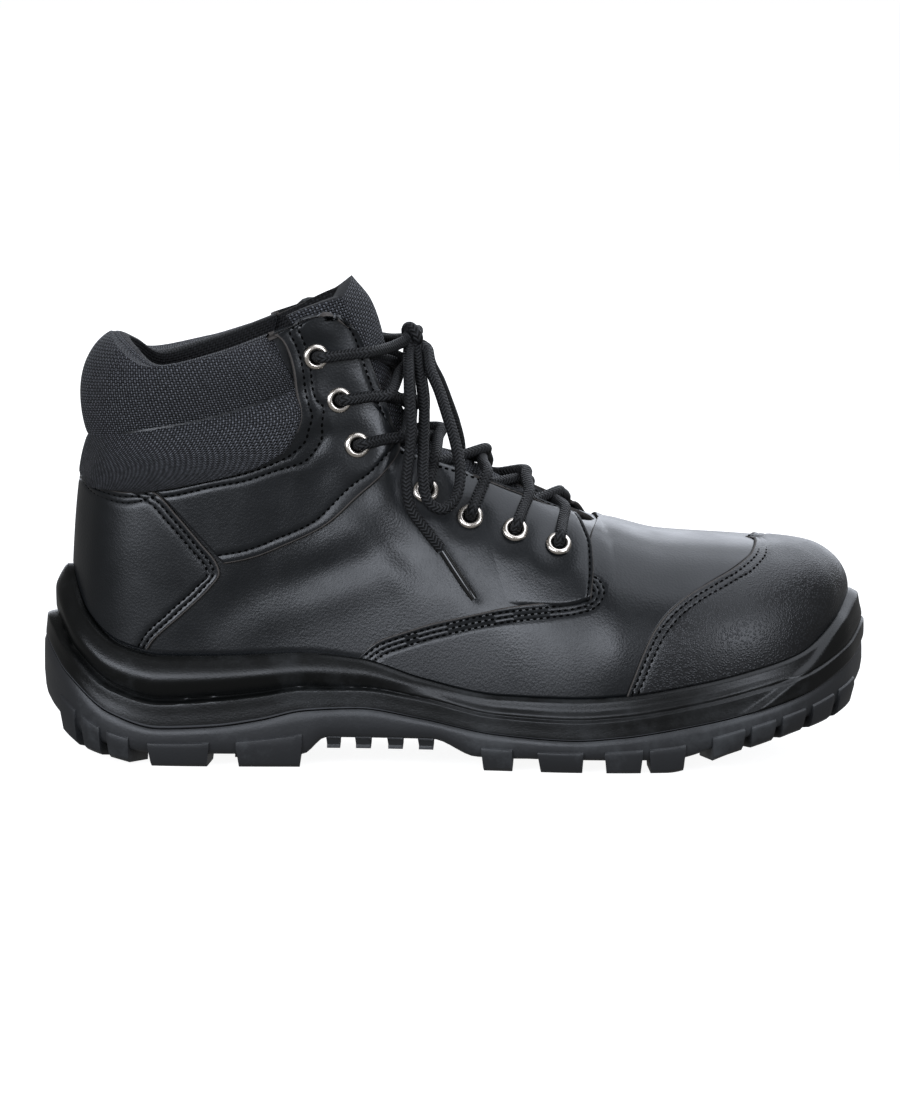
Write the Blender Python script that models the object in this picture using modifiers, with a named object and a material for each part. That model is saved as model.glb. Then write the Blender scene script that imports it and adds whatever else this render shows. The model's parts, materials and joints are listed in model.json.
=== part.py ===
"""Lace-up ankle safety boot for the right foot.

The upper is one hollow shell, lofted through ribs that run from the lip of the sole up to the top
line or to the ridge of the vamp.  The sole, footbed and overlays follow the same ribs.  Sizes are in
millimetres and become metres where a mesh gets its points.  +X is the toe, +Y the inner side of the
foot, +Z up, and the treads stand on z = 0.
"""
import math
from collections import namedtuple

import bmesh
import bpy
from mathutils import Vector

MM = 0.001
OUTER = -1
INNER = 1

# Driving sizes
LAST_LENGTH = 290.0
HEEL_X = -142.5
BALL_WIDTH = 101.0
SHAFT_HEIGHT = 170.0
WALL = 2.2
GAP = 0.35
CUP_GAP = 0.6
BED_GAP = 0.75
MARGIN_TUCK = 3.0
MARGIN_LIFT = 0.9
ROUND_POWER = 2.2
OUTSOLE_SKIN = 3.8
WRAP = 5.0
INSOLE_GAP = 0.9
INSOLE_THICKNESS = 4.2
TONGUE_CLEAR = 4.8
TONGUE_LEAD = 3.0
TONGUE_PAD = 8.0

# One row for each rib, heel back to toe tip.  along, top_along and spine are shares of the last's
# length from the heel; outer, inner, top_half and ridge are shares of the ball width; rise is a share
# of the shaft height; bulge is in millimetres.
Rib = namedtuple("Rib", "along outer inner top_along top_half ridge rise spine roundness bulge")
RIBS = (
    Rib(0.000, 0.000, 0.000, 0.052, 0.000, 0.000, 0.941, 0.103, 0.00, 3.4),
    Rib(0.017, 0.158, 0.158, 0.069, 0.150, 0.000, 0.918, 0.110, 0.00, 3.4),
    Rib(0.059, 0.260, 0.260, 0.107, 0.248, 0.000, 0.882, 0.122, 0.00, 2.6),
    Rib(0.114, 0.307, 0.307, 0.176, 0.297, 0.000, 0.909, 0.145, 0.00, 1.2),
    Rib(0.179, 0.330, 0.324, 0.248, 0.307, 0.000, 0.953, 0.190, 0.00, 0.2),
    Rib(0.241, 0.340, 0.325, 0.317, 0.277, 0.000, 1.000, 0.241, 0.00, -0.6),
    Rib(0.300, 0.350, 0.313, 0.355, 0.228, 0.000, 0.976, 0.300, 0.04, -0.4),
    Rib(0.372, 0.365, 0.303, 0.390, 0.198, 0.000, 0.841, 0.372, 0.12, 0.4),
    Rib(0.455, 0.396, 0.301, 0.417, 0.183, 0.000, 0.706, 0.455, 0.25, 1.4),
    Rib(0.552, 0.446, 0.337, 0.517, 0.168, 0.000, 0.635, 0.552, 0.45, 1.4),
    Rib(0.648, 0.495, 0.406, 0.628, 0.149, 0.004, 0.544, 0.648, 0.70, 0.8),
    Rib(0.710, 0.505, 0.450, 0.676, 0.000, 0.010, 0.518, 0.708, 1.00, 0.0),
    Rib(0.793, 0.485, 0.485, 0.759, 0.000, 0.025, 0.498, 0.772, 1.00, 0.0),
    Rib(0.872, 0.426, 0.475, 0.821, 0.000, 0.040, 0.489, 0.820, 1.00, 0.0),
    Rib(0.941, 0.307, 0.406, 0.859, 0.000, 0.050, 0.483, 0.846, 1.00, 0.0),
    Rib(0.986, 0.134, 0.257, 0.876, 0.000, 0.057, 0.478, 0.859, 1.00, 0.0),
    Rib(1.000, -0.059, 0.059, 0.883, 0.000, 0.059, 0.476, 0.862, 1.00, 0.0),
)
TOE = len(RIBS) - 1
THROAT = 11
THROAT_ROUND = 10

# The sole's side at the same ribs: heights of the parting line, groove and lip, and how far each
# form of the side stands out from the foot of the upper.
Side = namedtuple("Side", "part groove lip lip_out roll_out groove_out belly_out edge_out")
SIDES = (
    Side(45.0, 54.5, 72.0, 4.5, 8.6, 8.4, 12.0, 13.0),
    Side(34.0, 43.0, 57.0, 4.5, 8.4, 7.8, 11.0, 12.0),
    Side(19.5, 29.5, 45.0, 4.2, 8.0, 6.6, 9.8, 11.0),
    Side(14.3, 25.0, 41.3, 3.8, 7.6, 5.6, 8.8, 9.8),
    Side(15.2, 26.3, 41.5, 3.6, 7.2, 5.0, 8.0, 9.0),
    Side(17.8, 28.3, 42.3, 3.6, 6.9, 4.7, 7.4, 8.4),
    Side(21.5, 30.5, 43.0, 3.6, 6.5, 4.5, 6.8, 7.7),
    Side(22.5, 30.5, 41.0, 3.5, 5.8, 4.7, 6.5, 7.3),
    Side(19.0, 27.0, 33.7, 3.4, 5.0, 5.4, 6.5, 7.3),
    Side(13.8, 21.2, 28.2, 3.3, 4.6, 5.8, 6.7, 7.5),
    Side(12.2, 20.0, 27.6, 3.3, 4.6, 5.8, 6.8, 7.6),
    Side(13.5, 21.2, 28.7, 3.3, 4.6, 5.8, 6.8, 7.6),
    Side(17.2, 25.0, 32.3, 3.3, 4.6, 5.8, 6.8, 7.6),
    Side(22.0, 30.0, 37.0, 3.4, 4.8, 5.9, 6.9, 7.7),
    Side(28.5, 35.8, 43.0, 3.6, 5.2, 6.0, 7.0, 7.8),
    Side(37.5, 45.0, 55.0, 4.0, 6.0, 6.6, 7.4, 8.0),
    Side(43.0, 51.0, 61.5, 4.4, 6.0, 6.8, 7.6, 8.0),
)

# Heights along the boot: x, footbed floor, underside of the outsole's plate, and tread.
Level = namedtuple("Level", "x floor plate tread")
LEVELS = (
    Level(-158.0, 37.0, 26.5, 21.0),
    Level(-150.0, 37.0, 18.0, 13.0),
    Level(-140.0, 36.8, 11.0, 5.6),
    Level(-128.0, 36.5, 7.2, 2.4),
    Level(-114.0, 36.2, 5.2, 0.0),
    Level(-84.0, 35.6, 5.0, 0.0),
    Level(-57.0, 34.4, 5.0, 0.0),
    Level(-48.0, 33.6, 11.5, 7.3),
    Level(-8.0, 28.6, 11.5, 7.3),
    Level(9.0, 26.0, 5.2, 0.0),
    Level(46.0, 21.9, 5.0, 0.0),
    Level(80.0, 22.8, 5.0, 0.0),
    Level(104.0, 26.4, 11.2, 6.6),
    Level(126.0, 31.6, 16.8, 12.4),
    Level(146.0, 36.6, 22.4, 18.0),
    Level(158.0, 38.5, 34.0, 30.0),
)

# Lugs round the edge of the tread on both sides: start and end along the boot, and the share of the
# half width that each one covers, counted from the edge.
Lug = namedtuple("Lug", "start end cover")
EDGE_LUGS = (
    Lug(-147.0, -141.5, 0.30),
    Lug(-139.0, -132.5, 0.34),
    Lug(-130.0, -122.0, 0.38),
    Lug(-115.0, -92.0, 0.46),
    Lug(-82.0, -57.0, 0.46),
    Lug(-48.0, -42.5, 0.40),
    Lug(-37.0, -31.0, 0.40),
    Lug(-25.0, -19.0, 0.40),
    Lug(-13.5, -7.5, 0.40),
    Lug(11.0, 22.5, 0.46),
    Lug(32.0, 49.0, 0.42),
    Lug(57.0, 71.0, 0.46),
    Lug(73.5, 87.0, 0.36),
    Lug(97.0, 109.0, 0.42),
    Lug(111.5, 120.5, 0.36),
    Lug(123.0, 131.5, 0.36),
    Lug(134.0, 142.0, 0.36),
    Lug(144.0, 149.5, 0.36),
)
# Lugs across the middle of the tread: start, end and share of the half width.
MIDDLE_LUGS = (
    Lug(-108.0, -94.0, 0.42),
    Lug(-84.0, -62.0, 0.42),
    Lug(14.0, 27.0, 0.34),
    Lug(36.0, 50.0, 0.40),
    Lug(58.0, 72.0, 0.36),
)
LUG_ROOT = 1.6
LUG_INSET = 0.5
LUG_DRAFT = 0.08

# Cross sections of the tongue, toe end to top: its centre, the rib and height share of the throat edge
# that it passes under, its margin under the quarter, the lift above the top line, and its padding.
Section = namedtuple("Section", "centre_x centre_z edge_s edge_t margin_x margin_z lift padding")
TONGUE = (
    Section(64.0, 77.5, 11.3, 0.86, 63.0, 77.0, 0.0, 0.30),
    Section(55.0, 81.0, 10.95, 0.92, 52.0, 78.5, 0.0, 0.34),
    Section(45.0, 87.2, 10.5, 1.0, 42.0, 80.0, 0.0, 0.40),
    Section(30.0, 98.5, 9.7, 1.0, 25.0, 87.0, 0.0, 0.46),
    Section(10.0, 109.5, 9.05, 1.0, 2.5, 97.0, 0.0, 0.50),
    Section(-7.0, 117.5, 8.5, 1.0, -12.0, 102.0, 0.0, 0.54),
    Section(-16.0, 126.0, 8.0, 1.0, -31.0, 112.0, 0.0, 0.62),
    Section(-21.5, 137.0, 7.5, 1.0, -37.5, 127.0, 0.0, 0.72),
    Section(-24.5, 149.0, 7.0, 1.0, -42.0, 140.0, 0.0, 0.84),
    Section(-27.0, 161.0, 6.5, 1.0, -47.0, 153.0, 0.0, 0.94),
    Section(-31.0, 171.5, 6.05, 1.0, -52.0, 163.0, 0.0, 1.00),
    Section(-38.5, 180.0, 5.7, 1.0, -60.0, 164.0, 8.5, 0.80),
)
TONGUE_STEPS = 10
TONGUE_KNOTS = (0.0, 0.2, 0.28, 0.5, 0.72, 0.8, 1.0)

# Edges of the overlays as they show from the side: position along the boot and height.
Mark = namedtuple("Mark", "x z")
CAP_REAR = (
    Mark(65.0, 28.9), Mark(67.5, 35.6), Mark(70.9, 44.1), Mark(74.7, 51.8), Mark(80.0, 58.4),
    Mark(86.8, 63.6), Mark(96.3, 68.6), Mark(104.7, 72.4), Mark(110.0, 76.4), Mark(111.6, 80.0),
    Mark(111.0, 81.5),
)
VAMP_REAR = (
    Mark(-35.5, 42.0), Mark(-29.5, 46.7), Mark(-22.6, 49.7), Mark(-7.4, 54.5), Mark(18.0, 60.3),
    Mark(47.0, 63.4), Mark(52.0, 65.4), Mark(53.0, 73.0), Mark(53.6, 82.0), Mark(54.2, 88.0),
)
COUNTER_FRONT = (
    Mark(-115.3, 43.2), Mark(-113.0, 46.7), Mark(-102.0, 57.0), Mark(-91.0, 67.9), Mark(-88.0, 72.5),
    Mark(-88.7, 76.0), Mark(-95.0, 84.3), Mark(-103.5, 94.4), Mark(-111.0, 102.6), Mark(-115.7, 105.0),
)
EYESTAY_REAR = (
    Mark(-113.4, 106.4), Mark(-108.0, 107.2), Mark(-94.8, 110.0), Mark(-75.8, 114.8), Mark(-61.8, 123.3),
    Mark(-58.3, 131.0), Mark(-60.6, 142.3), Mark(-66.3, 152.6), Mark(-71.0, 161.8),
)
EYESTAY_FRONT = (
    Mark(-86.4, 76.4), Mark(-77.3, 78.2), Mark(-62.9, 83.5), Mark(-48.5, 90.3), Mark(-34.8, 102.2),
    Mark(-24.9, 111.7), Mark(-21.4, 119.0), Mark(-22.6, 124.8), Mark(-27.4, 137.8), Mark(-31.7, 150.4),
    Mark(-39.0, 166.0),
)
CUFF_FRONT = (
    Mark(-114.4, 108.0), Mark(-108.2, 108.8), Mark(-95.2, 111.6), Mark(-76.6, 116.6), Mark(-63.6, 124.6),
    Mark(-60.3, 132.0), Mark(-62.4, 142.6), Mark(-67.9, 152.8), Mark(-72.6, 161.0),
)
CUFF_PLACES = (0.0, 0.04, 0.12, 0.21, 0.27, 0.32, 0.5, 0.78, 1.0)
COUNTER_TOP = 104.3
CUFF_BOTTOM = 106.0
CUFF_GROOVE = 0.3
LIP_CLEAR = 0.9
PANEL_GAP = 0.75
STRIP_GAP = 1.45
CAP_THICKNESS = 2.0
VAMP_THICKNESS = 1.6
COUNTER_THICKNESS = 1.8
EYESTAY_THICKNESS = 1.6
SEAM_GAP = 0.05
RIDGE_LEAD = 0.06
VAMP_HEIGHTS = (0.0, 0.09, 0.21, 0.30, 0.37, 0.42, 0.47, 0.60, 0.73, 0.87, 1.0)
CUFF_COLUMNS = (0.0, 0.09, 0.18, 0.28, 0.40, 0.55, 0.70, 0.85, 1.0)

# Padding of the collar, heel back to front edge: rib share, lower roll, groove and upper roll.
Roll = namedtuple("Roll", "share lower groove upper")
ROLLS = (
    Roll(0.0, 3.2, 1.4, 9.8),
    Roll(0.4, 3.4, 1.6, 8.0),
    Roll(0.8, 3.2, 1.8, 5.4),
    Roll(1.0, 1.0, 1.0, 1.2),
)
CUFF_EDGE = 0.9
ROLL_POWER = 0.7

# Eyelets of one side, top to bottom, as they show from the side.
EYELETS = (
    Mark(-52.3, 154.6), Mark(-43.5, 137.7), Mark(-36.7, 120.5), Mark(-10.5, 102.8),
    Mark(6.3, 93.3), Mark(23.0, 88.0), Mark(39.3, 82.0),
)
ON_EYESTAY = 3
EYELET_RADIUS = 5.2
EYELET_HOLE = 2.75
EYELET_HEIGHT = 1.2
EYELET_SIDES = 8
EYELET_ROLL = 0.55
EYELET_GAP = 0.75

# The lace: strands over the throat, then the bow.  Its routes are for the outer side; the inner side
# mirrors them.  Each point is x, distance from the middle plane, z.
LACE_RADIUS = 2.15
LACE_OVER_EYELET = 4.6
LACE_OVER_EDGE = 5.1
LACE_OVER_TONGUE = 1.2
STRAND_STEPS = 5
STRAND_REACH = 0.3
CROSS_SHARE = 0.2
KNOT_CENTRE = (-15.6, 0.0, 158.2)
KNOT_SIZE = (4.6, 6.4, 6.0)
LOOP_EXIT = (0.65, 0.50, -0.57)
END_EXIT = (-0.15, 0.80, -0.58)
EXIT_RUN = 3.6
KNOT_GAP = 0.9
LOOP_ROUTE = (
    (-8.6, 11.0, 147.0), (-5.4, 16.5, 140.0), (-2.4, 22.5, 131.4),
    (0.6, 28.0, 122.0), (2.6, 33.5, 111.8), (1.2, 38.0, 103.0), (-4.0, 40.4, 98.0),
    (-9.6, 39.6, 101.0), (-11.4, 35.4, 109.2), (-11.4, 30.0, 116.6), (-11.2, 24.4, 124.6),
    (-11.0, 18.8, 132.6), (-12.0, 13.4, 141.0),
)
END_ROUTE = (
    (-16.8, 16.2, 147.0), (-16.6, 23.0, 138.4), (-15.8, 29.0, 127.6),
    (-16.6, 33.6, 117.6), (-17.6, 37.8, 107.6), (-16.0, 41.0, 98.4), (-10.4, 42.6, 90.6), (-4.4, 43.6, 83.2),
)
AGLET_ROUTE = ((-4.0, 43.7, 82.6), (2.0, 46.0, 73.6), (7.8, 48.2, 65.0))
AGLET_RADIUS = 1.25
BOW_CORDS = (("lace_loop", LOOP_EXIT, LOOP_ROUTE, 13), ("lace_end", END_EXIT, END_ROUTE, 9))

LEATHER = ((0.012, 0.013, 0.014), 0.42, 0.0)
FOAM_RUBBER = ((0.010, 0.010, 0.011), 0.48, 0.0)
TREAD_RUBBER = ((0.009, 0.009, 0.009), 0.75, 0.0)
FELT = ((0.016, 0.016, 0.017), 0.95, 0.0)
NYLON = ((0.011, 0.011, 0.012), 0.85, 0.0)
GRAINED_LEATHER = ((0.011, 0.011, 0.012), 0.55, 0.0)
NICKEL = ((0.62, 0.58, 0.53), 0.22, 1.0)
LACE_BRAID = ((0.008, 0.008, 0.009), 0.80, 0.0)
AGLET_PLASTIC = ((0.006, 0.006, 0.007), 0.25, 0.0)


def clear_scene():
    """Empty the scene and make the collections for the parts and for the cutters."""
    for old in list(bpy.data.objects):
        bpy.data.objects.remove(old, do_unlink=True)
    parts = bpy.data.collections.new("safety_boot")
    cutters = bpy.data.collections.new("cutters")
    bpy.context.scene.collection.children.link(parts)
    bpy.context.scene.collection.children.link(cutters)
    return parts, cutters


PARTS, CUTTERS = clear_scene()


def material(name, finish):
    """A plain finish of one colour, roughness and metallic value."""
    colour, roughness, metallic = finish
    made = bpy.data.materials.new(name)
    made.use_nodes = True
    shader = made.node_tree.nodes["Principled BSDF"]
    shader.inputs["Base Color"].default_value = (*colour, 1.0)
    shader.inputs["Roughness"].default_value = roughness
    shader.inputs["Metallic"].default_value = metallic
    return made


def monotone(xs, ys, x):
    """Smooth curve through the points (xs, ys) that never overshoots them, read at x."""
    last = len(xs) - 1
    x = min(max(x, xs[0]), xs[last])
    i = 0
    while i < last - 1 and x > xs[i + 1]:
        i += 1

    def slope(k):
        return (ys[k + 1] - ys[k]) / (xs[k + 1] - xs[k])

    def tangent(k):
        if k == 0:
            return slope(0)
        if k == last:
            return slope(last - 1)
        before, after = slope(k - 1), slope(k)
        if before * after <= 0.0:
            return 0.0
        return 2.0 * before * after / (before + after)

    width = xs[i + 1] - xs[i]
    f = (x - xs[i]) / width
    ease = f * f * (3.0 - 2.0 * f)
    start = f * (1.0 - f) ** 2 * width * tangent(i)
    end = f * f * (f - 1.0) * width * tangent(i + 1)
    return ys[i] + (ys[i + 1] - ys[i]) * ease + start + end


def level(column, x):
    """Height of one column of LEVELS at x."""
    return monotone([row.x for row in LEVELS], [getattr(row, column) for row in LEVELS], x)


def along_to_x(share):
    """Position along the boot of a share of the last's length."""
    return HEEL_X + LAST_LENGTH * share


def mirrored(values, ghosts):
    """A column with one ghost value before and after it, so that both sides join smoothly."""
    return [ghosts[1], *values, ghosts[-2]]


POSITIONS = [float(i) for i in range(-1, TOE + 2)]


def column_table(side):
    """Columns of both rib tables for one side of the boot, in millimetres, with ghost rows."""
    own = {}
    for name, sign_side in (("y", side), ("ghost", -side)):
        outer = [-row.outer * BALL_WIDTH for row in RIBS]
        inner = [row.inner * BALL_WIDTH for row in RIBS]
        own[name] = outer if sign_side == OUTER else inner
    table = {"y": mirrored(own["y"], own["ghost"])}
    for name in ("along", "top_along", "spine"):
        values = [along_to_x(getattr(row, name)) for row in RIBS]
        table[name] = mirrored(values, values)
    half = [row.top_half * BALL_WIDTH for row in RIBS]
    table["top_half"] = [-half[1], *half, 0.0]
    for name, scale in (("ridge", BALL_WIDTH), ("rise", SHAFT_HEIGHT), ("roundness", 1.0), ("bulge", 1.0)):
        values = [getattr(row, name) * scale for row in RIBS]
        table[name] = mirrored(values, values)
    for name in Side._fields:
        values = [getattr(row, name) for row in SIDES]
        table[name] = mirrored(values, values)
    return table


TABLES = {side: column_table(side) for side in (OUTER, INNER)}


def read(side, name, s):
    """Value of a rib column at position s, counted in ribs from the heel back."""
    return monotone(POSITIONS, TABLES[side][name], s)


def foot(side, s):
    """Point of the upper on the lip of the sole."""
    return Vector((read(side, "along", s), read(side, "y", s), read(side, "lip", s)))


def top(side, s):
    """Point of the top line, or of the vamp's ridge past the throat."""
    half = read(side, "top_half", s)
    if THROAT_ROUND < s < THROAT:
        share = s - THROAT_ROUND
        half = RIBS[THROAT_ROUND].top_half * BALL_WIDTH * math.sqrt(1.0 - share * share)
    if s >= THROAT:
        half = 0.0
    return Vector((read(side, "top_along", s), read(side, "ridge", s) + side * half, read(side, "rise", s)))


def plan_normal(side, s):
    """Outward direction of the foot line, level with the floor."""
    step = 0.05
    before = foot(side, s - step) if s - step >= 0.0 else foot(-side, step - s)
    after = foot(side, s + step) if s + step <= TOE else foot(-side, 2 * TOE - s - step)
    run = after - before
    return Vector((run.y, -run.x, 0.0)).normalized() * -side


def centre(side, s):
    """Point of the boot's middle line that belongs to rib s."""
    y = 0.5 * (read(OUTER, "y", s) + read(INNER, "y", s))
    return Vector((read(side, "spine", s), y, 0.0))


def surface(side, s, t):
    """Outside of the upper: rib s, from the lip at t = 0 to the top line or ridge at t = 1."""
    if s < 0.0:
        return surface(-side, -s, t)
    if s > TOE:
        return surface(-side, 2 * TOE - s, t)
    if t > 1.0 and s >= THROAT:
        return surface(-side, s, 2.0 - t)
    low, high = foot(side, s), top(side, s)
    roundness = read(side, "roundness", s)
    angle = t * math.pi / 2.0
    power = 2.0 / ROUND_POWER
    inward = (1.0 - roundness) * t + roundness * (1.0 - max(math.cos(angle), 0.0) ** power)
    upward = (1.0 - roundness) * t + roundness * math.sin(angle) ** power
    swell = plan_normal(side, s) * read(side, "bulge", s) * math.sin(math.pi * t)
    point = low.lerp(high, inward) + swell
    point.z = low.z + (high.z - low.z) * upward
    return point


def normal(side, s, t):
    """Outward direction of the upper's surface."""
    ds, dt = 0.03, 0.015
    t_high = t + dt if t + dt <= 1.0 or s >= THROAT else t
    t_low = max(t - dt, 0.0)
    along = surface(side, s + ds, t) - surface(side, s - ds, t)
    up = surface(side, s, t_high) - surface(side, s, t_low)
    return along.cross(up).normalized() * -side


def margin(side, s):
    """Lower edge of the upper, tucked into the cup of the sole."""
    point = foot(side, s) - plan_normal(side, s) * MARGIN_TUCK
    point.z = level("floor", point.x) + MARGIN_LIFT
    return point


def locate(side, x, z):
    """Rib position and height share of the surface point that shows at x, z from the side."""
    def miss(s, t):
        point = surface(side, s, t)
        return math.hypot(point.x - x, point.z - z)

    coarse = [(i / 4.0, j / 12.0) for i in range(4 * TOE + 1) for j in range(13)]
    s, t = min(coarse, key=lambda place: miss(*place))
    step_s, step_t = 0.25, 0.08
    while step_s > 0.001:
        options = [(s + a * step_s, t + b * step_t) for a in (-1, 0, 1) for b in (-1, 0, 1)]
        inside = [place for place in options if 0.0 <= place[0] <= TOE and 0.0 <= place[1] <= 1.0]
        best = min(inside, key=lambda place: miss(*place))
        if best == (s, t):
            step_s, step_t = step_s / 2.0, step_t / 2.0
        s, t = best
    return s, t


def stations(spans):
    """Rib positions, with a chosen number of steps in each span of ribs (start, end, steps)."""
    found = [float(spans[0][0])]
    for start, end, steps in spans:
        found += [start + (end - start) * (k + 1) / steps for k in range(steps)]
    return found


FINE = stations(((0, 2, 5), (2, 11, 14), (11, 16, 11)))
COARSE = stations(((0, 2, 4), (2, 11, 9), (11, 16, 8)))


def add_sheet(bm, columns, flip):
    """Map a grid onto columns of points, column by column."""
    across, along = len(columns) - 1, len(columns[0]) - 1
    grid = bmesh.ops.create_grid(bm, x_segments=across, y_segments=along, size=1.0)
    for vert in grid["verts"]:
        i = round((vert.co.x + 1.0) / 2.0 * across)
        j = round((vert.co.y + 1.0) / 2.0 * along)
        vert.co = columns[i][j] * MM
    if flip:
        faces = {face for vert in grid["verts"] for face in vert.link_faces}
        bmesh.ops.reverse_faces(bm, faces=list(faces))


def finish_object(name, bm, look, collection=None):
    """Weld a bmesh into a named, smooth-shaded object."""
    bmesh.ops.remove_doubles(bm, verts=bm.verts, dist=0.00002)
    mesh = bpy.data.meshes.new(name)
    bm.to_mesh(mesh)
    bm.free()
    mesh.shade_smooth()
    mesh.set_sharp_from_angle(angle=math.radians(40.0))
    made = bpy.data.objects.new(name, mesh)
    (collection or PARTS).objects.link(made)
    if look is not None:
        mesh.materials.append(look)
    return made


def closed_loft(name, profile, where, look):
    """Closed body whose ribs run from the middle line below to the middle line above."""
    bm = bmesh.new()
    for side in (OUTER, INNER):
        add_sheet(bm, [profile(side, s) for s in where], flip=side == INNER)
    bmesh.ops.remove_doubles(bm, verts=bm.verts, dist=0.00002)
    bmesh.ops.recalc_face_normals(bm, faces=bm.faces)
    return finish_object(name, bm, look)


def thicken(obj, thickness, outward, group=None):
    """Give an open sheet its thickness, outwards or inwards, scaled by a vertex group if named."""
    wall = obj.modifiers.new("wall", "SOLIDIFY")
    wall.thickness = thickness * MM
    wall.offset = 1.0 if outward else -1.0
    wall.use_even_offset = group is None
    if group:
        wall.vertex_group = group
    return obj


def offset_point(side, s, out, height):
    """Point of the sole's side: so far out from the foot line, at a height."""
    point = foot(side, s) + plan_normal(side, s) * out
    point.z = height
    return point


def at_level(point, column, lift):
    """The point moved to a level of the boot plus a lift."""
    return Vector((point.x, point.y, level(column, point.x) + lift))


def bed(side, s):
    """Underside of the midsole along one rib, from the middle line to its turned-up edge."""
    middle = centre(side, s)
    low = offset_point(side, s, read(side, "edge_out", s) - WRAP, 0.0)
    return [at_level(point, "plate", OUTSOLE_SKIN) for point in (middle, middle.lerp(low, 0.6), low)]


def outsole_profile(side, s):
    """Rib of the outsole: underside, side wall, then back along the bed of the midsole."""
    edge = read(side, "edge_out", s)
    part = read(side, "part", s)
    middle = centre(side, s)
    rim_low = at_level(offset_point(side, s, edge - 2.0, 0.0), "plate", 0.0)
    rim_mid = offset_point(side, s, edge, rim_low.z + 0.45 * (part - rim_low.z))
    rim_high = offset_point(side, s, edge - 0.2, part - GAP)
    bed_edge = offset_point(side, s, edge - 1.2, part - GAP)
    sunk = [point - Vector((0.0, 0.0, BED_GAP)) for point in bed(side, s)]
    sunk[2] += plan_normal(side, s) * BED_GAP
    return [
        at_level(middle, "plate", 0.0),
        at_level(middle.lerp(rim_low, 0.6), "plate", 0.0),
        rim_low,
        rim_mid,
        rim_high,
        bed_edge,
        sunk[2],
        sunk[1],
        sunk[0],
    ]


def midsole_profile(side, s):
    """Rib of the cup midsole: bed, parting line, lower roll, groove, upper roll, lip, inside wall."""
    edge = read(side, "edge_out", s)
    part, groove, lip = (read(side, name, s) for name in ("part", "groove", "lip"))
    lip_out = read(side, "lip_out", s)
    middle = centre(side, s)
    inner_low = margin(side, s) + plan_normal(side, s) * CUP_GAP
    floor_edge = at_level(inner_low, "floor", 0.0)
    return [
        *bed(side, s),
        offset_point(side, s, edge - 1.2 - BED_GAP, part),
        offset_point(side, s, edge - 0.6, part + 0.5),
        offset_point(side, s, read(side, "belly_out", s), part + 0.52 * (groove - part)),
        offset_point(side, s, read(side, "groove_out", s), groove),
        offset_point(side, s, read(side, "roll_out", s), groove + 0.45 * (lip - groove)),
        offset_point(side, s, lip_out + 0.7, lip - 1.3),
        offset_point(side, s, lip_out - 0.6, lip),
        offset_point(side, s, CUP_GAP, lip),
        floor_edge,
        at_level(middle.lerp(floor_edge, 0.6), "floor", 0.0),
        at_level(middle, "floor", 0.0),
    ]


def insole_profile(side, s):
    """Rib of the footbed that lies on the floor of the cup, inside the upper."""
    edge = margin(side, s) - plan_normal(side, s) * (WALL + INSOLE_GAP)
    middle = centre(side, s)
    upper_edge = edge - plan_normal(side, s) * 0.8
    return [
        at_level(middle, "floor", GAP),
        at_level(edge, "floor", GAP),
        at_level(upper_edge, "floor", GAP + INSOLE_THICKNESS),
        at_level(middle, "floor", GAP + INSOLE_THICKNESS),
    ]


UPPER_HEIGHTS = (0.0, 0.09, 0.21, 0.34, 0.47, 0.60, 0.73, 0.87, 1.0)


def upper_rib(side, s):
    """Outside of the upper along one rib, from its margin in the sole to the top."""
    return [margin(side, s)] + [surface(side, s, t) for t in UPPER_HEIGHTS]


def build_upper(look):
    """Hollow upper: both sides welded at the heel back, the toe and the ridge of the vamp."""
    bm = bmesh.new()
    for side in (OUTER, INNER):
        add_sheet(bm, [upper_rib(side, s) for s in FINE], flip=side == INNER)
    return thicken(finish_object("upper", bm, look), WALL, outward=False)


def lug_corner(side, s, share, inset):
    """Plan position of a lug's corner: share 1 is the edge of the tread, 0 its middle line."""
    edge = offset_point(side, s, read(side, "edge_out", s) - 2.0 - inset, 0.0)
    return centre(side, s).lerp(edge, share)


def rib_at(side, x):
    """Rib whose tread edge lies at x."""
    low, high = 0.0, float(TOE)
    for _ in range(40):
        mid = 0.5 * (low + high)
        if lug_corner(side, mid, 1.0, 0.0).x < x:
            low = mid
        else:
            high = mid
    return low


def add_lug(bm, corner):
    """One tapered lug on four plan corners, from inside the plate down to the tread level."""
    heart = (corner(0, 0) + corner(1, 0) + corner(0, 1) + corner(1, 1)) / 4.0
    block = bmesh.ops.create_cube(bm, size=1.0)
    for vert in block["verts"]:
        root = corner(int(vert.co.x > 0.0), int(vert.co.y > 0.0))
        if vert.co.z > 0.0:
            vert.co = at_level(root, "plate", LUG_ROOT) * MM
        else:
            vert.co = at_level(root.lerp(heart, LUG_DRAFT), "tread", 0.0) * MM


def build_outsole(look):
    """Outsole plate with its edge lugs and middle lugs fused on."""
    plate = closed_loft("outsole", outsole_profile, FINE, look)
    bm = bmesh.new()
    for lug in EDGE_LUGS:
        span = (rib_at(OUTER, lug.start), rib_at(OUTER, lug.end))
        shares = (1.0 - lug.cover, 1.0)
        for side in (OUTER, INNER):
            add_lug(bm, lambda end, edge: lug_corner(side, span[end], shares[edge], LUG_INSET))
    for lug in MIDDLE_LUGS:
        span = (rib_at(OUTER, lug.start), rib_at(OUTER, lug.end))
        add_lug(bm, lambda end, edge: lug_corner((OUTER, INNER)[edge], span[end], lug.cover, 0.0))
    bmesh.ops.recalc_face_normals(bm, faces=bm.faces)
    lugs = finish_object("lug_blocks", bm, None, CUTTERS)
    lugs.hide_render = True
    lugs.display_type = "WIRE"
    union = plate.modifiers.new("lugs", "BOOLEAN")
    union.operation = "UNION"
    union.solver = "EXACT"
    union.object = lugs
    return plate


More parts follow.
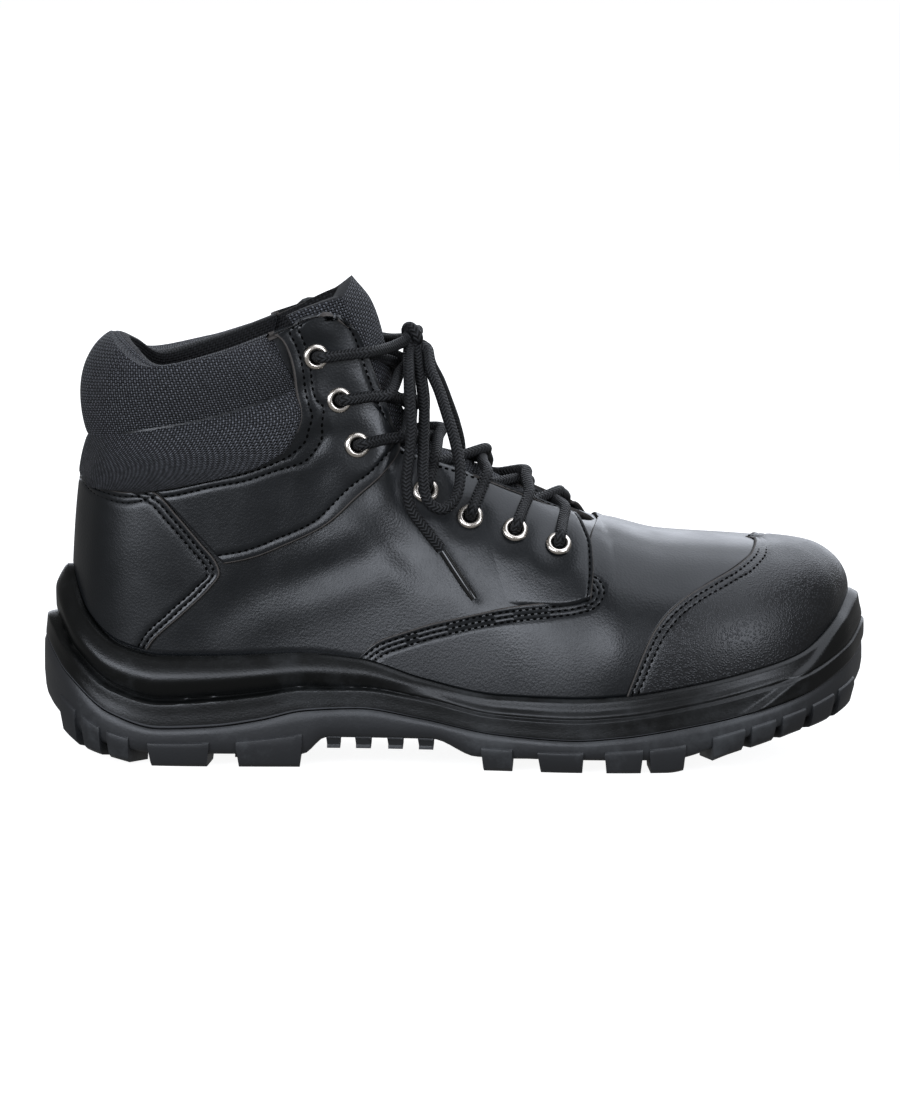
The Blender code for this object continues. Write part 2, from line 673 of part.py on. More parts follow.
def tongue_row(row):
    """Cross section of the tongue's face, outer margin to inner margin."""
    halves = []
    for side in (OUTER, INNER):
        marks = []
        for s, t in (locate(side, row.margin_x, row.margin_z), (row.edge_s, row.edge_t)):
            under = surface(side, s, t) - normal(side, s, t) * TONGUE_CLEAR
            marks.append(under + Vector((0.0, 0.0, row.lift)))
        past = marks[1] + (marks[1] - marks[0]).normalized() * TONGUE_LEAD
        halves.append([*marks, past])
    middle = Vector((row.centre_x, 0.5 * (halves[0][1].y + halves[1][1].y), row.centre_z))
    knots = [*halves[0], middle, *reversed(halves[1])]
    points = []
    for k in range(TONGUE_STEPS + 1):
        share = k / TONGUE_STEPS
        place = [monotone(TONGUE_KNOTS, [knot[axis] for knot in knots], share) for axis in range(3)]
        points.append(Vector(place))
    return points


def build_tongue(look):
    """Padded tongue under the throat, thickest in its middle and near its top."""
    rows = [tongue_row(row) for row in TONGUE]
    columns = [[row[k] for row in rows] for k in range(TONGUE_STEPS + 1)]
    bm = bmesh.new()
    add_sheet(bm, columns, flip=False)
    tongue = finish_object("tongue", bm, look)
    group = tongue.vertex_groups.new(name="padding")
    weights = {}
    for i in range(TONGUE_STEPS + 1):
        crown = 0.3 + 0.7 * math.sin(math.pi * i / TONGUE_STEPS)
        for row, points in zip(TONGUE, rows):
            weights[tuple(round(value, 2) for value in points[i])] = row.padding * crown
    for vert in tongue.data.vertices:
        key = tuple(round(value / MM, 2) for value in vert.co)
        nearest = min(weights, key=lambda place: math.dist(place, key))
        group.add([vert.index], weights[nearest], "REPLACE")
    return thicken(tongue, TONGUE_PAD, outward=False, group="padding")


def edge_curve(side, marks, places=None):
    """Curve through marks seen from the side, as a function from 0..1 to rib position and height."""
    ribs = [locate(side, mark.x, mark.z)[0] for mark in marks]
    heights = [mark.z for mark in marks]
    if places is None:
        lengths = [0.0]
        for first, second in zip(marks, marks[1:]):
            lengths.append(lengths[-1] + math.dist(first, second))
        places = [length / lengths[-1] for length in lengths]
    return lambda share: (monotone(places, ribs, share), monotone(places, heights, share))


def rib_curve(side, marks):
    """Rib of an edge that climbs from the lip to the ridge, as a function of the height share."""
    found = [locate(side, mark.x, mark.z) for mark in marks]
    shares, ribs = [0.0], [found[0][0]]
    for s, t in found[1:-1]:
        if shares[-1] + 0.01 < t < 0.98:
            shares.append(t)
            ribs.append(s)
    shares.append(1.0)
    ribs.append(max(found[-1][0], THROAT + RIDGE_LEAD))
    return lambda t: monotone(shares, ribs, t)


def share_at(side, s, z):
    """Height share of rib s at a height, kept just above the lip of the sole."""
    low, high = LIP_CLEAR / (top(side, s).z - foot(side, s).z), 1.0
    if surface(side, s, low).z >= z:
        return low
    for _ in range(24):
        mid = 0.5 * (low + high)
        if surface(side, s, mid).z < z:
            low = mid
        else:
            high = mid
    return high


def over(side, s, t, gap):
    """Point of a panel's underside, just outside the upper."""
    return surface(side, s, t) + normal(side, s, t) * gap


def sheet_between(side, first, second, shares, rows, gap):
    """Sheet over the upper between two edges, each a function from 0..1 to rib position and height."""
    columns = []
    for share in shares:
        column = []
        for row in rows:
            a, b = first(row), second(row)
            s = a[0] + (b[0] - a[0]) * share
            z = a[1] + (b[1] - a[1]) * share
            column.append(over(side, s, share_at(side, s, z), gap))
        columns.append(column)
    return columns


def sheet_across(side, first, second, shares, rows):
    """Sheet from the lip to the ridge between two edges, each a function from height share to rib."""
    columns = []
    for share in shares:
        column = []
        for t in rows:
            s = first(t) + (second(t) - first(t)) * share
            clear = LIP_CLEAR / (top(side, s).z - foot(side, s).z)
            column.append(over(side, s, max(t, clear), PANEL_GAP))
        columns.append(column)
    return columns


def even(steps):
    """Evenly stepped shares from 0 to 1."""
    return [k / steps for k in range(steps + 1)]


def build_panel(name, sheet, thickness, look, sides=(OUTER, INNER)):
    """Leather overlay: a sheet on each side, welded where they meet and thickened outwards."""
    bm = bmesh.new()
    for side in sides:
        add_sheet(bm, sheet(side), flip=side == INNER)
    return thicken(finish_object(name, bm, look), thickness, outward=True)


def cap_sheet(side):
    """Toe cap: from its rear edge round to the toe tip."""
    return sheet_across(side, rib_curve(side, CAP_REAR), lambda t: float(TOE), even(8), UPPER_HEIGHTS)


def vamp_sheet(side):
    """Vamp: from its seam over the quarter forward to the toe cap."""
    front = rib_curve(side, CAP_REAR)
    return sheet_across(side, rib_curve(side, VAMP_REAR), lambda t: front(t) - SEAM_GAP, even(7), VAMP_HEIGHTS)


def heel_line(low, high):
    """Heel back between two heights, as an edge."""
    return lambda share: (0.0, low + (high - low) * share)


def counter_sheet(side):
    """Counter: heel back to its front edge."""
    back = heel_line(foot(side, 0.0).z, COUNTER_TOP)
    return sheet_between(side, back, edge_curve(side, COUNTER_FRONT), even(5), even(8), STRIP_GAP)


def eyestay_sheet(side):
    """Eyestay: a strip from the collar's edge to the throat and its lower edge."""
    rear, front = edge_curve(side, EYESTAY_REAR), edge_curve(side, EYESTAY_FRONT)
    return sheet_between(side, rear, front, even(4), even(12), STRIP_GAP)


def cuff_sheet(side):
    """Collar: heel back to the front edge along the eyestay."""
    back = heel_line(CUFF_BOTTOM, top(side, 0.0).z)
    front = edge_curve(side, CUFF_FRONT, CUFF_PLACES)
    return sheet_between(side, back, front, CUFF_COLUMNS, even(8), STRIP_GAP)


def cuff_padding(share, height):
    """Thickness of the padded collar at a share of its width and height: two rolls and a groove."""
    places = [roll.share for roll in ROLLS]
    columns = [[getattr(roll, name) for roll in ROLLS] for name in ("lower", "groove", "upper")]
    lower, groove, upper = (monotone(places, column, share) for column in columns)
    if height < CUFF_GROOVE:
        wave = math.sin(math.pi * height / CUFF_GROOVE)
        rest = CUFF_EDGE + (groove - CUFF_EDGE) * height / CUFF_GROOVE
        return rest + max(lower - rest, 0.0) * wave
    part = (height - CUFF_GROOVE) / (1.0 - CUFF_GROOVE)
    rest = groove + (CUFF_EDGE - groove) * part
    return rest + max(upper - rest, 0.0) * math.sin(math.pi * part) ** ROLL_POWER


def build_cuff(look):
    """Padded collar in two rolls over the upper."""
    bm = bmesh.new()
    pads = {}
    thickest = max(roll.upper for roll in ROLLS)
    for side in (OUTER, INNER):
        sheet = cuff_sheet(side)
        add_sheet(bm, sheet, flip=side == INNER)
        for share, column in zip(CUFF_COLUMNS, sheet):
            for height, point in zip(even(len(column) - 1), column):
                pads[tuple(point * MM)] = cuff_padding(share, height) / thickest
    cuff = finish_object("collar_cuff", bm, look)
    return thicken_by(cuff, pads, thickest, outward=True)


def thicken_by(obj, shares, thickness, outward):
    """Thicken a sheet by a share of the thickness at each of its points."""
    group = obj.vertex_groups.new(name="padding")
    for vert in obj.data.vertices:
        nearest = min(shares, key=lambda place: math.dist(place, vert.co))
        group.add([vert.index], shares[nearest], "REPLACE")
    return thicken(obj, thickness, outward, group="padding")


def eyelet_seat(side, number):
    """Centre and direction of an eyelet's seat on the leather; both sides share its rib."""
    s, t = locate(OUTER, *EYELETS[number])
    lift = EYELET_GAP
    if number < ON_EYESTAY:
        lift += STRIP_GAP + EYESTAY_THICKNESS
    direction = normal(side, s, t)
    return surface(side, s, t) + direction * lift, direction


def build_eyelets(look):
    """Flanged rings, one mesh turned from a profile and shared by all fourteen."""
    inner, outer = EYELET_HOLE + EYELET_ROLL, EYELET_RADIUS - 2.0 * EYELET_ROLL
    profile = ((EYELET_HOLE, 0.0), (inner, EYELET_HEIGHT), (outer, EYELET_HEIGHT), (EYELET_RADIUS, 0.0))
    bm = bmesh.new()
    verts = [bm.verts.new((radius * MM, 0.0, height * MM)) for radius, height in profile]
    ring = [bm.edges.new((verts[k], verts[(k + 1) % len(verts)])) for k in range(len(verts))]
    bmesh.ops.spin(bm, geom=verts + ring, cent=(0, 0, 0), axis=(0, 0, 1), angle=2 * math.pi,
                   steps=EYELET_SIDES, use_merge=True)
    bmesh.ops.remove_doubles(bm, verts=bm.verts, dist=0.00002)
    bmesh.ops.recalc_face_normals(bm, faces=bm.faces)
    mesh = bpy.data.meshes.new("eyelet_ring")
    bm.to_mesh(mesh)
    bm.free()
    mesh.shade_smooth()
    mesh.set_sharp_from_angle(angle=math.radians(40.0))
    mesh.materials.append(look)
    for side, label in ((OUTER, "lateral"), (INNER, "medial")):
        for number in range(len(EYELETS)):
            seat, direction = eyelet_seat(side, number)
            ring_object = bpy.data.objects.new(f"eyelet_{label}_{number + 1}", mesh)
            ring_object.location = seat * MM
            ring_object.rotation_mode = "QUATERNION"
            ring_object.rotation_quaternion = direction.to_track_quat("Z", "Y")
            PARTS.objects.link(ring_object)


def smooth_path(points, steps):
    """Evenly stepped points on a smooth curve through a few points."""
    lengths = [0.0]
    for first, second in zip(points, points[1:]):
        lengths.append(lengths[-1] + (second - first).length)
    ghosts = [points[0] * 2.0 - points[1], *points, points[-1] * 2.0 - points[-2]]
    path = []
    for k in range(steps + 1):
        place = lengths[-1] * k / steps
        i = 0
        while i < len(points) - 2 and place > lengths[i + 1]:
            i += 1
        f = (place - lengths[i]) / (lengths[i + 1] - lengths[i])
        p0, p1, p2, p3 = ghosts[i:i + 4]
        path.append(0.5 * (2.0 * p1 + (p2 - p0) * f + (2.0 * p0 - 5.0 * p1 + 4.0 * p2 - p3) * f * f
                           + (3.0 * p1 - p0 - 3.0 * p2 + p3) * f * f * f))
    return path


def build_cord(name, path, radius, resolution, look, collection=None):
    """Round cord with filled ends along a path."""
    curve = bpy.data.curves.new(name, "CURVE")
    curve.dimensions = "3D"
    curve.bevel_depth = radius * MM
    curve.bevel_resolution = resolution
    curve.use_fill_caps = True
    spline = curve.splines.new("POLY")
    spline.points.add(len(path) - 1)
    for point, place in zip(spline.points, path):
        point.co = (*(place * MM), 1.0)
    curve.materials.append(look)
    cord = bpy.data.objects.new(name, curve)
    (collection or PARTS).objects.link(cord)
    return cord


def curve_to_mesh(cord, name, collection):
    """Turn a cord into a closed mesh object, so that it can be joined to others."""
    bpy.context.view_layer.update()
    evaluated = cord.evaluated_get(bpy.context.evaluated_depsgraph_get())
    mesh = bpy.data.meshes.new_from_object(evaluated)
    bpy.data.objects.remove(cord, do_unlink=True)
    bm = bmesh.new()
    bm.from_mesh(mesh)
    bmesh.ops.remove_doubles(bm, verts=bm.verts, dist=0.00002)
    bmesh.ops.recalc_face_normals(bm, faces=bm.faces)
    bm.to_mesh(mesh)
    bm.free()
    made = bpy.data.objects.new(name, mesh)
    collection.objects.link(made)
    return made


def throat_edge(side, number):
    """Rib of the throat edge nearest to an eyelet."""
    seat = eyelet_seat(side, number)[0]
    ribs = [6.0 + 5.0 * k / 200.0 for k in range(201)]
    return min(ribs, key=lambda s: (top(side, s) - seat).length)


def tongue_crest(s):
    """Lace centre over the middle of the tongue, at the throat rib s."""
    ribs = [row.edge_s for row in reversed(TONGUE)]
    xs = [row.centre_x for row in reversed(TONGUE)]
    zs = [row.centre_z for row in reversed(TONGUE)]
    step = 0.1
    here, ahead = (Vector((monotone(ribs, xs, k), 0.0, monotone(ribs, zs, k))) for k in (s, s + step))
    run = (ahead - here).normalized()
    return here + Vector((-run.z, 0.0, run.x)) * (LACE_OVER_TONGUE + LACE_RADIUS)


def over_edge(side, number):
    """Lace centre where it crosses the throat edge by an eyelet."""
    s = throat_edge(side, number)
    lift = LACE_OVER_EDGE + (EYESTAY_THICKNESS + STRIP_GAP if number < ON_EYESTAY else 0.0)
    return top(side, s) + normal(side, s, 1.0) * lift


def over_eyelet(side, number):
    """Lace centre above an eyelet."""
    seat, direction = eyelet_seat(side, number)
    return seat + direction * LACE_OVER_EYELET


def strand(side, number):
    """Strand from an eyelet over the tongue, up to the throat edge by the next eyelet of the other side."""
    own, other = throat_edge(OUTER, number), throat_edge(OUTER, number - 1)
    rib = own + (other - own) * CROSS_SHARE
    middle = tongue_crest(rib)
    return [over_eyelet(side, number), over_edge(side, number), middle,
            middle.lerp(over_edge(-side, number - 1), STRAND_REACH)]


def beside_knot(direction, out):
    """Point at a distance outside the knot, in a direction from its centre."""
    direction = direction.normalized()
    reach = 1.0 / math.sqrt(sum((part / size) ** 2 for part, size in zip(direction, KNOT_SIZE)))
    return Vector(KNOT_CENTRE) + direction * (reach + out)


def top_strand(side):
    """Strand from a top eyelet to the knot."""
    edge = over_edge(side, 0)
    return [over_eyelet(side, 0), edge, beside_knot(edge - Vector(KNOT_CENTRE), 0.0)]


def build_crossings(look):
    """Strands over the throat: each crossing is two of them fused, and the top two run to the knot."""
    for number in range(1, len(EYELETS)):
        halves = []
        for side, collection in ((OUTER, PARTS), (INNER, CUTTERS)):
            cord = build_cord("strand", smooth_path(strand(side, number), STRAND_STEPS), LACE_RADIUS, 1, look)
            halves.append(curve_to_mesh(cord, f"lace_crossing_{number}", collection))
        halves[1].hide_render = True
        halves[1].display_type = "WIRE"
        union = halves[0].modifiers.new("strands", "BOOLEAN")
        union.operation = "UNION"
        union.solver = "EXACT"
        union.object = halves[1]
    for side, label in ((OUTER, "lateral"), (INNER, "medial")):
        build_cord(f"lace_top_{label}", smooth_path(top_strand(side), 4), LACE_RADIUS, 1, look)


def build_bow(look, plastic):
    """Knot, two loops, two ends and their aglets."""
    bm = bmesh.new()
    bmesh.ops.create_uvsphere(bm, u_segments=8, v_segments=6, radius=MM)
    for vert in bm.verts:
        vert.co = Vector([c * size + k * MM for c, size, k in zip(vert.co, KNOT_SIZE, KNOT_CENTRE)])
    finish_object("lace_knot", bm, look)
    for side, label in ((OUTER, "lateral"), (INNER, "medial")):
        for name, leave, route, steps in BOW_CORDS:
            way = Vector((leave[0], side * leave[1], leave[2]))
            points = [beside_knot(way, KNOT_GAP), beside_knot(way, EXIT_RUN)]
            points += [Vector((x, side * y, z)) for x, y, z in route]
            build_cord(f"{name}_{label}", smooth_path(points, steps), LACE_RADIUS, 2, look)
        points = [Vector((x, side * y, z)) for x, y, z in AGLET_ROUTE]
        build_cord(f"aglet_{label}", points, AGLET_RADIUS, 2, plastic)


def build_boot():
    """Make every piece of the boot."""
    leather = material("black_leather", LEATHER)
    nylon = material("nylon", NYLON)
    braid = material("lace_braid", LACE_BRAID)
    build_outsole(material("tread_rubber", TREAD_RUBBER))
    closed_loft("midsole", midsole_profile, FINE, material("foam_rubber", FOAM_RUBBER))
    closed_loft("insole", insole_profile, COARSE, material("felt", FELT))
    build_upper(leather)
    build_tongue(nylon)
    build_panel("toe_cap", cap_sheet, CAP_THICKNESS, material("grained_leather", GRAINED_LEATHER))
    build_panel("vamp", vamp_sheet, VAMP_THICKNESS, leather)
    build_panel("counter", counter_sheet, COUNTER_THICKNESS, leather)
    for side, label in ((OUTER, "lateral"), (INNER, "medial")):
        build_panel(f"eyestay_{label}", eyestay_sheet, EYESTAY_THICKNESS, leather, sides=(side,))
    build_cuff(nylon)
    build_eyelets(material("nickel", NICKEL))
    build_crossings(braid)
    build_bow(braid, material("aglet_plastic", AGLET_PLASTIC))


build_boot()
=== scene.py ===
"""Looks of a black lace-up safety boot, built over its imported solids.

The upper, its panels, the sole, collar and tongue are fine meshes on the same ribs as the solids.
Sizes in tables are millimetres; meshes are metres in the frame of the solids: +X toe, +Y inner side
of the foot, +Z up.
"""
import json
import math
from collections import namedtuple
from functools import partial

import bmesh
import bpy
import numpy as np
from mathutils import Matrix, Vector
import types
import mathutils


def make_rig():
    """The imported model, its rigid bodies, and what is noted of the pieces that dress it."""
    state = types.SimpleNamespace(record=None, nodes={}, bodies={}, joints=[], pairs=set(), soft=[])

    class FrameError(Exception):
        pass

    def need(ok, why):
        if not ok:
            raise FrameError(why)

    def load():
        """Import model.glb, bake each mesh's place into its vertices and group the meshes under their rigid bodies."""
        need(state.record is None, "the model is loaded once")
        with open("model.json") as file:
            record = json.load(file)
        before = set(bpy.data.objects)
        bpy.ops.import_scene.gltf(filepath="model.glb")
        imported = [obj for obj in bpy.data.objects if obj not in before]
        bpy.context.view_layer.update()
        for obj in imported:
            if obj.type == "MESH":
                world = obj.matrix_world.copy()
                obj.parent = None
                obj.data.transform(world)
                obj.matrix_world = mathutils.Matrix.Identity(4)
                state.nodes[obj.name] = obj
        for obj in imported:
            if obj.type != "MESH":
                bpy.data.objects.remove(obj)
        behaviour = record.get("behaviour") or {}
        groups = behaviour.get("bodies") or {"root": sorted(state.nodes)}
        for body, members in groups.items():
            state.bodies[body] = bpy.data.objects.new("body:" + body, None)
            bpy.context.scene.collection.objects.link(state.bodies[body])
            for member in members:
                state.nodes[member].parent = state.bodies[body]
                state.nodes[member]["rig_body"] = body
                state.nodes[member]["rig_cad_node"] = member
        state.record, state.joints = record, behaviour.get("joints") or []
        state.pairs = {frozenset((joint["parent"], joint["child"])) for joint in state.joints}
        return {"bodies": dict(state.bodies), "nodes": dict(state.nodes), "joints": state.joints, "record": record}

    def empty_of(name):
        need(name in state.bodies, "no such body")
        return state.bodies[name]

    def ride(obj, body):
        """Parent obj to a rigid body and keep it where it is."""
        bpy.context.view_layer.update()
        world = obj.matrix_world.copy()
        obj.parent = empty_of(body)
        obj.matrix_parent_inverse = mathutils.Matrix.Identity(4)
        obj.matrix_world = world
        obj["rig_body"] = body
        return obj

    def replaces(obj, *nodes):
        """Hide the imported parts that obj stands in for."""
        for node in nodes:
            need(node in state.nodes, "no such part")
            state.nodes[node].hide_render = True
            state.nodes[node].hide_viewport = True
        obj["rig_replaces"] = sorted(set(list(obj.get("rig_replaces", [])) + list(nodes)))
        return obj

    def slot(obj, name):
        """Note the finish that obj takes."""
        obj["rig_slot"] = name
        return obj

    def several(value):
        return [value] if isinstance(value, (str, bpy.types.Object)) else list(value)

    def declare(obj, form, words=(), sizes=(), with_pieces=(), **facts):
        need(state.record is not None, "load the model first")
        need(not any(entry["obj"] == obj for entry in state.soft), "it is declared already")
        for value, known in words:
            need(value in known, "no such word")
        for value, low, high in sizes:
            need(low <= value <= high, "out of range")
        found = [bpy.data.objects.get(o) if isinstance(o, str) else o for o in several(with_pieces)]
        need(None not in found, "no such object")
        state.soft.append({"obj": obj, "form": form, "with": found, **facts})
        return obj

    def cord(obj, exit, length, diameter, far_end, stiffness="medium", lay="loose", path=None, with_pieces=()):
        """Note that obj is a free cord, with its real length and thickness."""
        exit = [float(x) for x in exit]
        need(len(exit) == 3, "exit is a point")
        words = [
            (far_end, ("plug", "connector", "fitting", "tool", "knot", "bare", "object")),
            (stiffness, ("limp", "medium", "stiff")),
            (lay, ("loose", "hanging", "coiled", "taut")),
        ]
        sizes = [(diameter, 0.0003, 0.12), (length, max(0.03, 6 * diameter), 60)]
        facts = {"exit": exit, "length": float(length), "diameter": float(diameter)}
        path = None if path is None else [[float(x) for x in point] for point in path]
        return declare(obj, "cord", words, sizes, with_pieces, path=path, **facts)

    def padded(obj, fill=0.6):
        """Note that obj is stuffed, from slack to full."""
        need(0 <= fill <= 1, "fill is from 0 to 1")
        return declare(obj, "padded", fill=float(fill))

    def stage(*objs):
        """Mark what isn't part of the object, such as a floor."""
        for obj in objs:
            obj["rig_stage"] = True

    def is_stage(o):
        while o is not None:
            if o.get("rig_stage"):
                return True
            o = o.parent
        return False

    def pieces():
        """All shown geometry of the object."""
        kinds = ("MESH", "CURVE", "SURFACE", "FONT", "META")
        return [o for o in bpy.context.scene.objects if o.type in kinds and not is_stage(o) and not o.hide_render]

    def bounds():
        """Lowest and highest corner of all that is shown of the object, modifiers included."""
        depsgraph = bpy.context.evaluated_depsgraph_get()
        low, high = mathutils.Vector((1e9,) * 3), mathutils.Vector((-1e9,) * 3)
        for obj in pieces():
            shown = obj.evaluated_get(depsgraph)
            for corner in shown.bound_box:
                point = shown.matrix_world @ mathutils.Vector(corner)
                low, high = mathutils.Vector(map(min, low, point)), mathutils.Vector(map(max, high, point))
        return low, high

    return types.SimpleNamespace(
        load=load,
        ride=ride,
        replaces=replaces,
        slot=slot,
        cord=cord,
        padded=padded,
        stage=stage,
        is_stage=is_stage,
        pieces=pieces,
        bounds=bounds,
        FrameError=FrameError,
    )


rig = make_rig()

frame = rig.load()

bl_info = {
    "name": "Safety Boot Looks",
    "version": (1, 0, 0),
    "blender": (4, 5, 0),
    "location": "View3D > Sidebar > Boot",
    "description": "Builds the finished looks of a lace-up safety boot over its solids",
    "category": "Object",
}

CAD_BOX = [list(corner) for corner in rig.bounds()]
SIZE_FILE = "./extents.json"
MM = 0.001
OUTER = -1
INNER = 1
SIDES_OF_FOOT = ((OUTER, "lateral"), (INNER, "medial"))

# Last of the boot, as in the solids
LAST_LENGTH = 290.0
HEEL_X = -142.5
BALL_WIDTH = 101.0
SHAFT_HEIGHT = 170.0
WALL = 2.2
MARGIN_TUCK = 3.0
MARGIN_LIFT = 0.9
ROUND_POWER = 2.2
OUTSOLE_SKIN = 3.8
WRAP = 5.0
CUP_GAP = 0.6
PART_GAP = 0.35
INSOLE_GAP = 0.9
INSOLE_THICKNESS = 4.2
TONGUE_CLEAR = 4.8
TONGUE_LEAD = 3.0
TONGUE_PAD = 8.0

# Ribs from the heel back to the toe tip: shares of the last's length, of the ball's width and of the
# shaft's height, then how round each one is and how far it swells in millimetres
Rib = namedtuple("Rib", "along outer inner top_along top_half ridge rise spine roundness bulge")
RIBS = (
    Rib(0.000, 0.000, 0.000, 0.052, 0.000, 0.000, 0.941, 0.103, 0.00, 3.4),
    Rib(0.017, 0.158, 0.158, 0.069, 0.150, 0.000, 0.918, 0.110, 0.00, 3.4),
    Rib(0.059, 0.260, 0.260, 0.107, 0.248, 0.000, 0.882, 0.122, 0.00, 2.6),
    Rib(0.114, 0.307, 0.307, 0.176, 0.297, 0.000, 0.909, 0.145, 0.00, 1.2),
    Rib(0.179, 0.330, 0.324, 0.248, 0.307, 0.000, 0.953, 0.190, 0.00, 0.2),
    Rib(0.241, 0.340, 0.325, 0.317, 0.277, 0.000, 1.000, 0.241, 0.00, -0.6),
    Rib(0.300, 0.350, 0.313, 0.355, 0.228, 0.000, 0.976, 0.300, 0.04, -0.4),
    Rib(0.372, 0.365, 0.303, 0.390, 0.198, 0.000, 0.841, 0.372, 0.12, 0.4),
    Rib(0.455, 0.396, 0.301, 0.417, 0.183, 0.000, 0.706, 0.455, 0.25, 1.4),
    Rib(0.552, 0.446, 0.337, 0.517, 0.168, 0.000, 0.635, 0.552, 0.45, 1.4),
    Rib(0.648, 0.495, 0.406, 0.628, 0.149, 0.004, 0.544, 0.648, 0.70, 0.8),
    Rib(0.710, 0.505, 0.450, 0.676, 0.000, 0.010, 0.518, 0.708, 1.00, 0.0),
    Rib(0.793, 0.485, 0.485, 0.759, 0.000, 0.025, 0.498, 0.772, 1.00, 0.0),
    Rib(0.872, 0.426, 0.475, 0.821, 0.000, 0.040, 0.489, 0.820, 1.00, 0.0),
    Rib(0.941, 0.307, 0.406, 0.859, 0.000, 0.050, 0.483, 0.846, 1.00, 0.0),
    Rib(0.986, 0.134, 0.257, 0.876, 0.000, 0.057, 0.478, 0.859, 1.00, 0.0),
    Rib(1.000, -0.059, 0.059, 0.883, 0.000, 0.059, 0.476, 0.862, 1.00, 0.0),
)
TOE = len(RIBS) - 1
THROAT = 11
THROAT_ROUND = 10
THROAT_SOFT = 0.45

# Side of the sole at each rib: heights of its lines, and how far they stand out from the foot line
Side = namedtuple("Side", "part groove lip lip_out roll_out groove_out belly_out edge_out")
SIDES = (
    Side(45.0, 54.5, 72.0, 4.5, 8.6, 8.4, 12.0, 13.0),
    Side(34.0, 43.0, 57.0, 4.5, 8.4, 7.8, 11.0, 12.0),
    Side(19.5, 29.5, 45.0, 4.2, 8.0, 6.6, 9.8, 11.0),
    Side(14.3, 25.0, 41.3, 3.8, 7.6, 5.6, 8.8, 9.8),
    Side(15.2, 26.3, 41.5, 3.6, 7.2, 5.0, 8.0, 9.0),
    Side(17.8, 28.3, 42.3, 3.6, 6.9, 4.7, 7.4, 8.4),
    Side(21.5, 30.5, 43.0, 3.6, 6.5, 4.5, 6.8, 7.7),
    Side(22.5, 30.5, 41.0, 3.5, 5.8, 4.7, 6.5, 7.3),
    Side(19.0, 27.0, 33.7, 3.4, 5.0, 5.4, 6.5, 7.3),
    Side(13.8, 21.2, 28.2, 3.3, 4.6, 5.8, 6.7, 7.5),
    Side(12.2, 20.0, 27.6, 3.3, 4.6, 5.8, 6.8, 7.6),
    Side(13.5, 21.2, 28.7, 3.3, 4.6, 5.8, 6.8, 7.6),
    Side(17.2, 25.0, 32.3, 3.3, 4.6, 5.8, 6.8, 7.6),
    Side(22.0, 30.0, 37.0, 3.4, 4.8, 5.9, 6.9, 7.7),
    Side(28.5, 35.8, 43.0, 3.6, 5.2, 6.0, 7.0, 7.8),
    Side(37.5, 45.0, 55.0, 4.0, 6.0, 6.6, 7.4, 8.0),
    Side(43.0, 51.0, 61.5, 4.4, 6.0, 6.8, 7.6, 8.0),
)

# Heights under the foot: floor of the cup, underside of the tread's plate, ends of its lugs
Level = namedtuple("Level", "x floor plate tread")
LEVELS = (
    Level(-158.0, 37.0, 26.5, 21.0),
    Level(-150.0, 37.0, 18.0, 13.0),
    Level(-140.0, 36.8, 11.0, 5.6),
    Level(-128.0, 36.5, 7.2, 2.4),
    Level(-114.0, 36.2, 5.2, 0.0),
    Level(-84.0, 35.6, 5.0, 0.0),
    Level(-57.0, 34.4, 5.0, 0.0),
    Level(-48.0, 33.6, 11.5, 7.3),
    Level(-8.0, 28.6, 11.5, 7.3),
    Level(9.0, 26.0, 5.2, 0.0),
    Level(46.0, 21.9, 5.0, 0.0),
    Level(80.0, 22.8, 5.0, 0.0),
    Level(104.0, 26.4, 11.2, 6.6),
    Level(126.0, 31.6, 16.8, 12.4),
    Level(146.0, 36.6, 22.4, 18.0),
    Level(158.0, 38.5, 34.0, 30.0),
)

# Lugs of the tread: their stretch along the boot, and the share of the half width that they cover
Lug = namedtuple("Lug", "start end cover")
EDGE_LUGS = (
    Lug(-147.0, -141.5, 0.30),
    Lug(-139.0, -132.5, 0.34),
    Lug(-130.0, -122.0, 0.38),
    Lug(-115.0, -92.0, 0.46),
    Lug(-82.0, -57.0, 0.46),
    Lug(-48.0, -42.5, 0.40),
    Lug(-37.0, -31.0, 0.40),
    Lug(-25.0, -19.0, 0.40),
    Lug(-13.5, -7.5, 0.40),
    Lug(11.0, 22.5, 0.46),
    Lug(32.0, 49.0, 0.42),
    Lug(57.0, 71.0, 0.46),
    Lug(73.5, 87.0, 0.36),
    Lug(97.0, 109.0, 0.42),
    Lug(111.5, 120.5, 0.36),
    Lug(123.0, 131.5, 0.36),
    Lug(134.0, 142.0, 0.36),
    Lug(144.0, 149.5, 0.36),
)
MIDDLE_LUGS = (
    Lug(-108.0, -94.0, 0.42),
    Lug(-84.0, -62.0, 0.42),
    Lug(14.0, 27.0, 0.34),
    Lug(36.0, 50.0, 0.40),
    Lug(58.0, 72.0, 0.36),
)
LUG_ROOT = 1.6
LUG_INSET = 0.5
LUG_DRAFT = 0.08

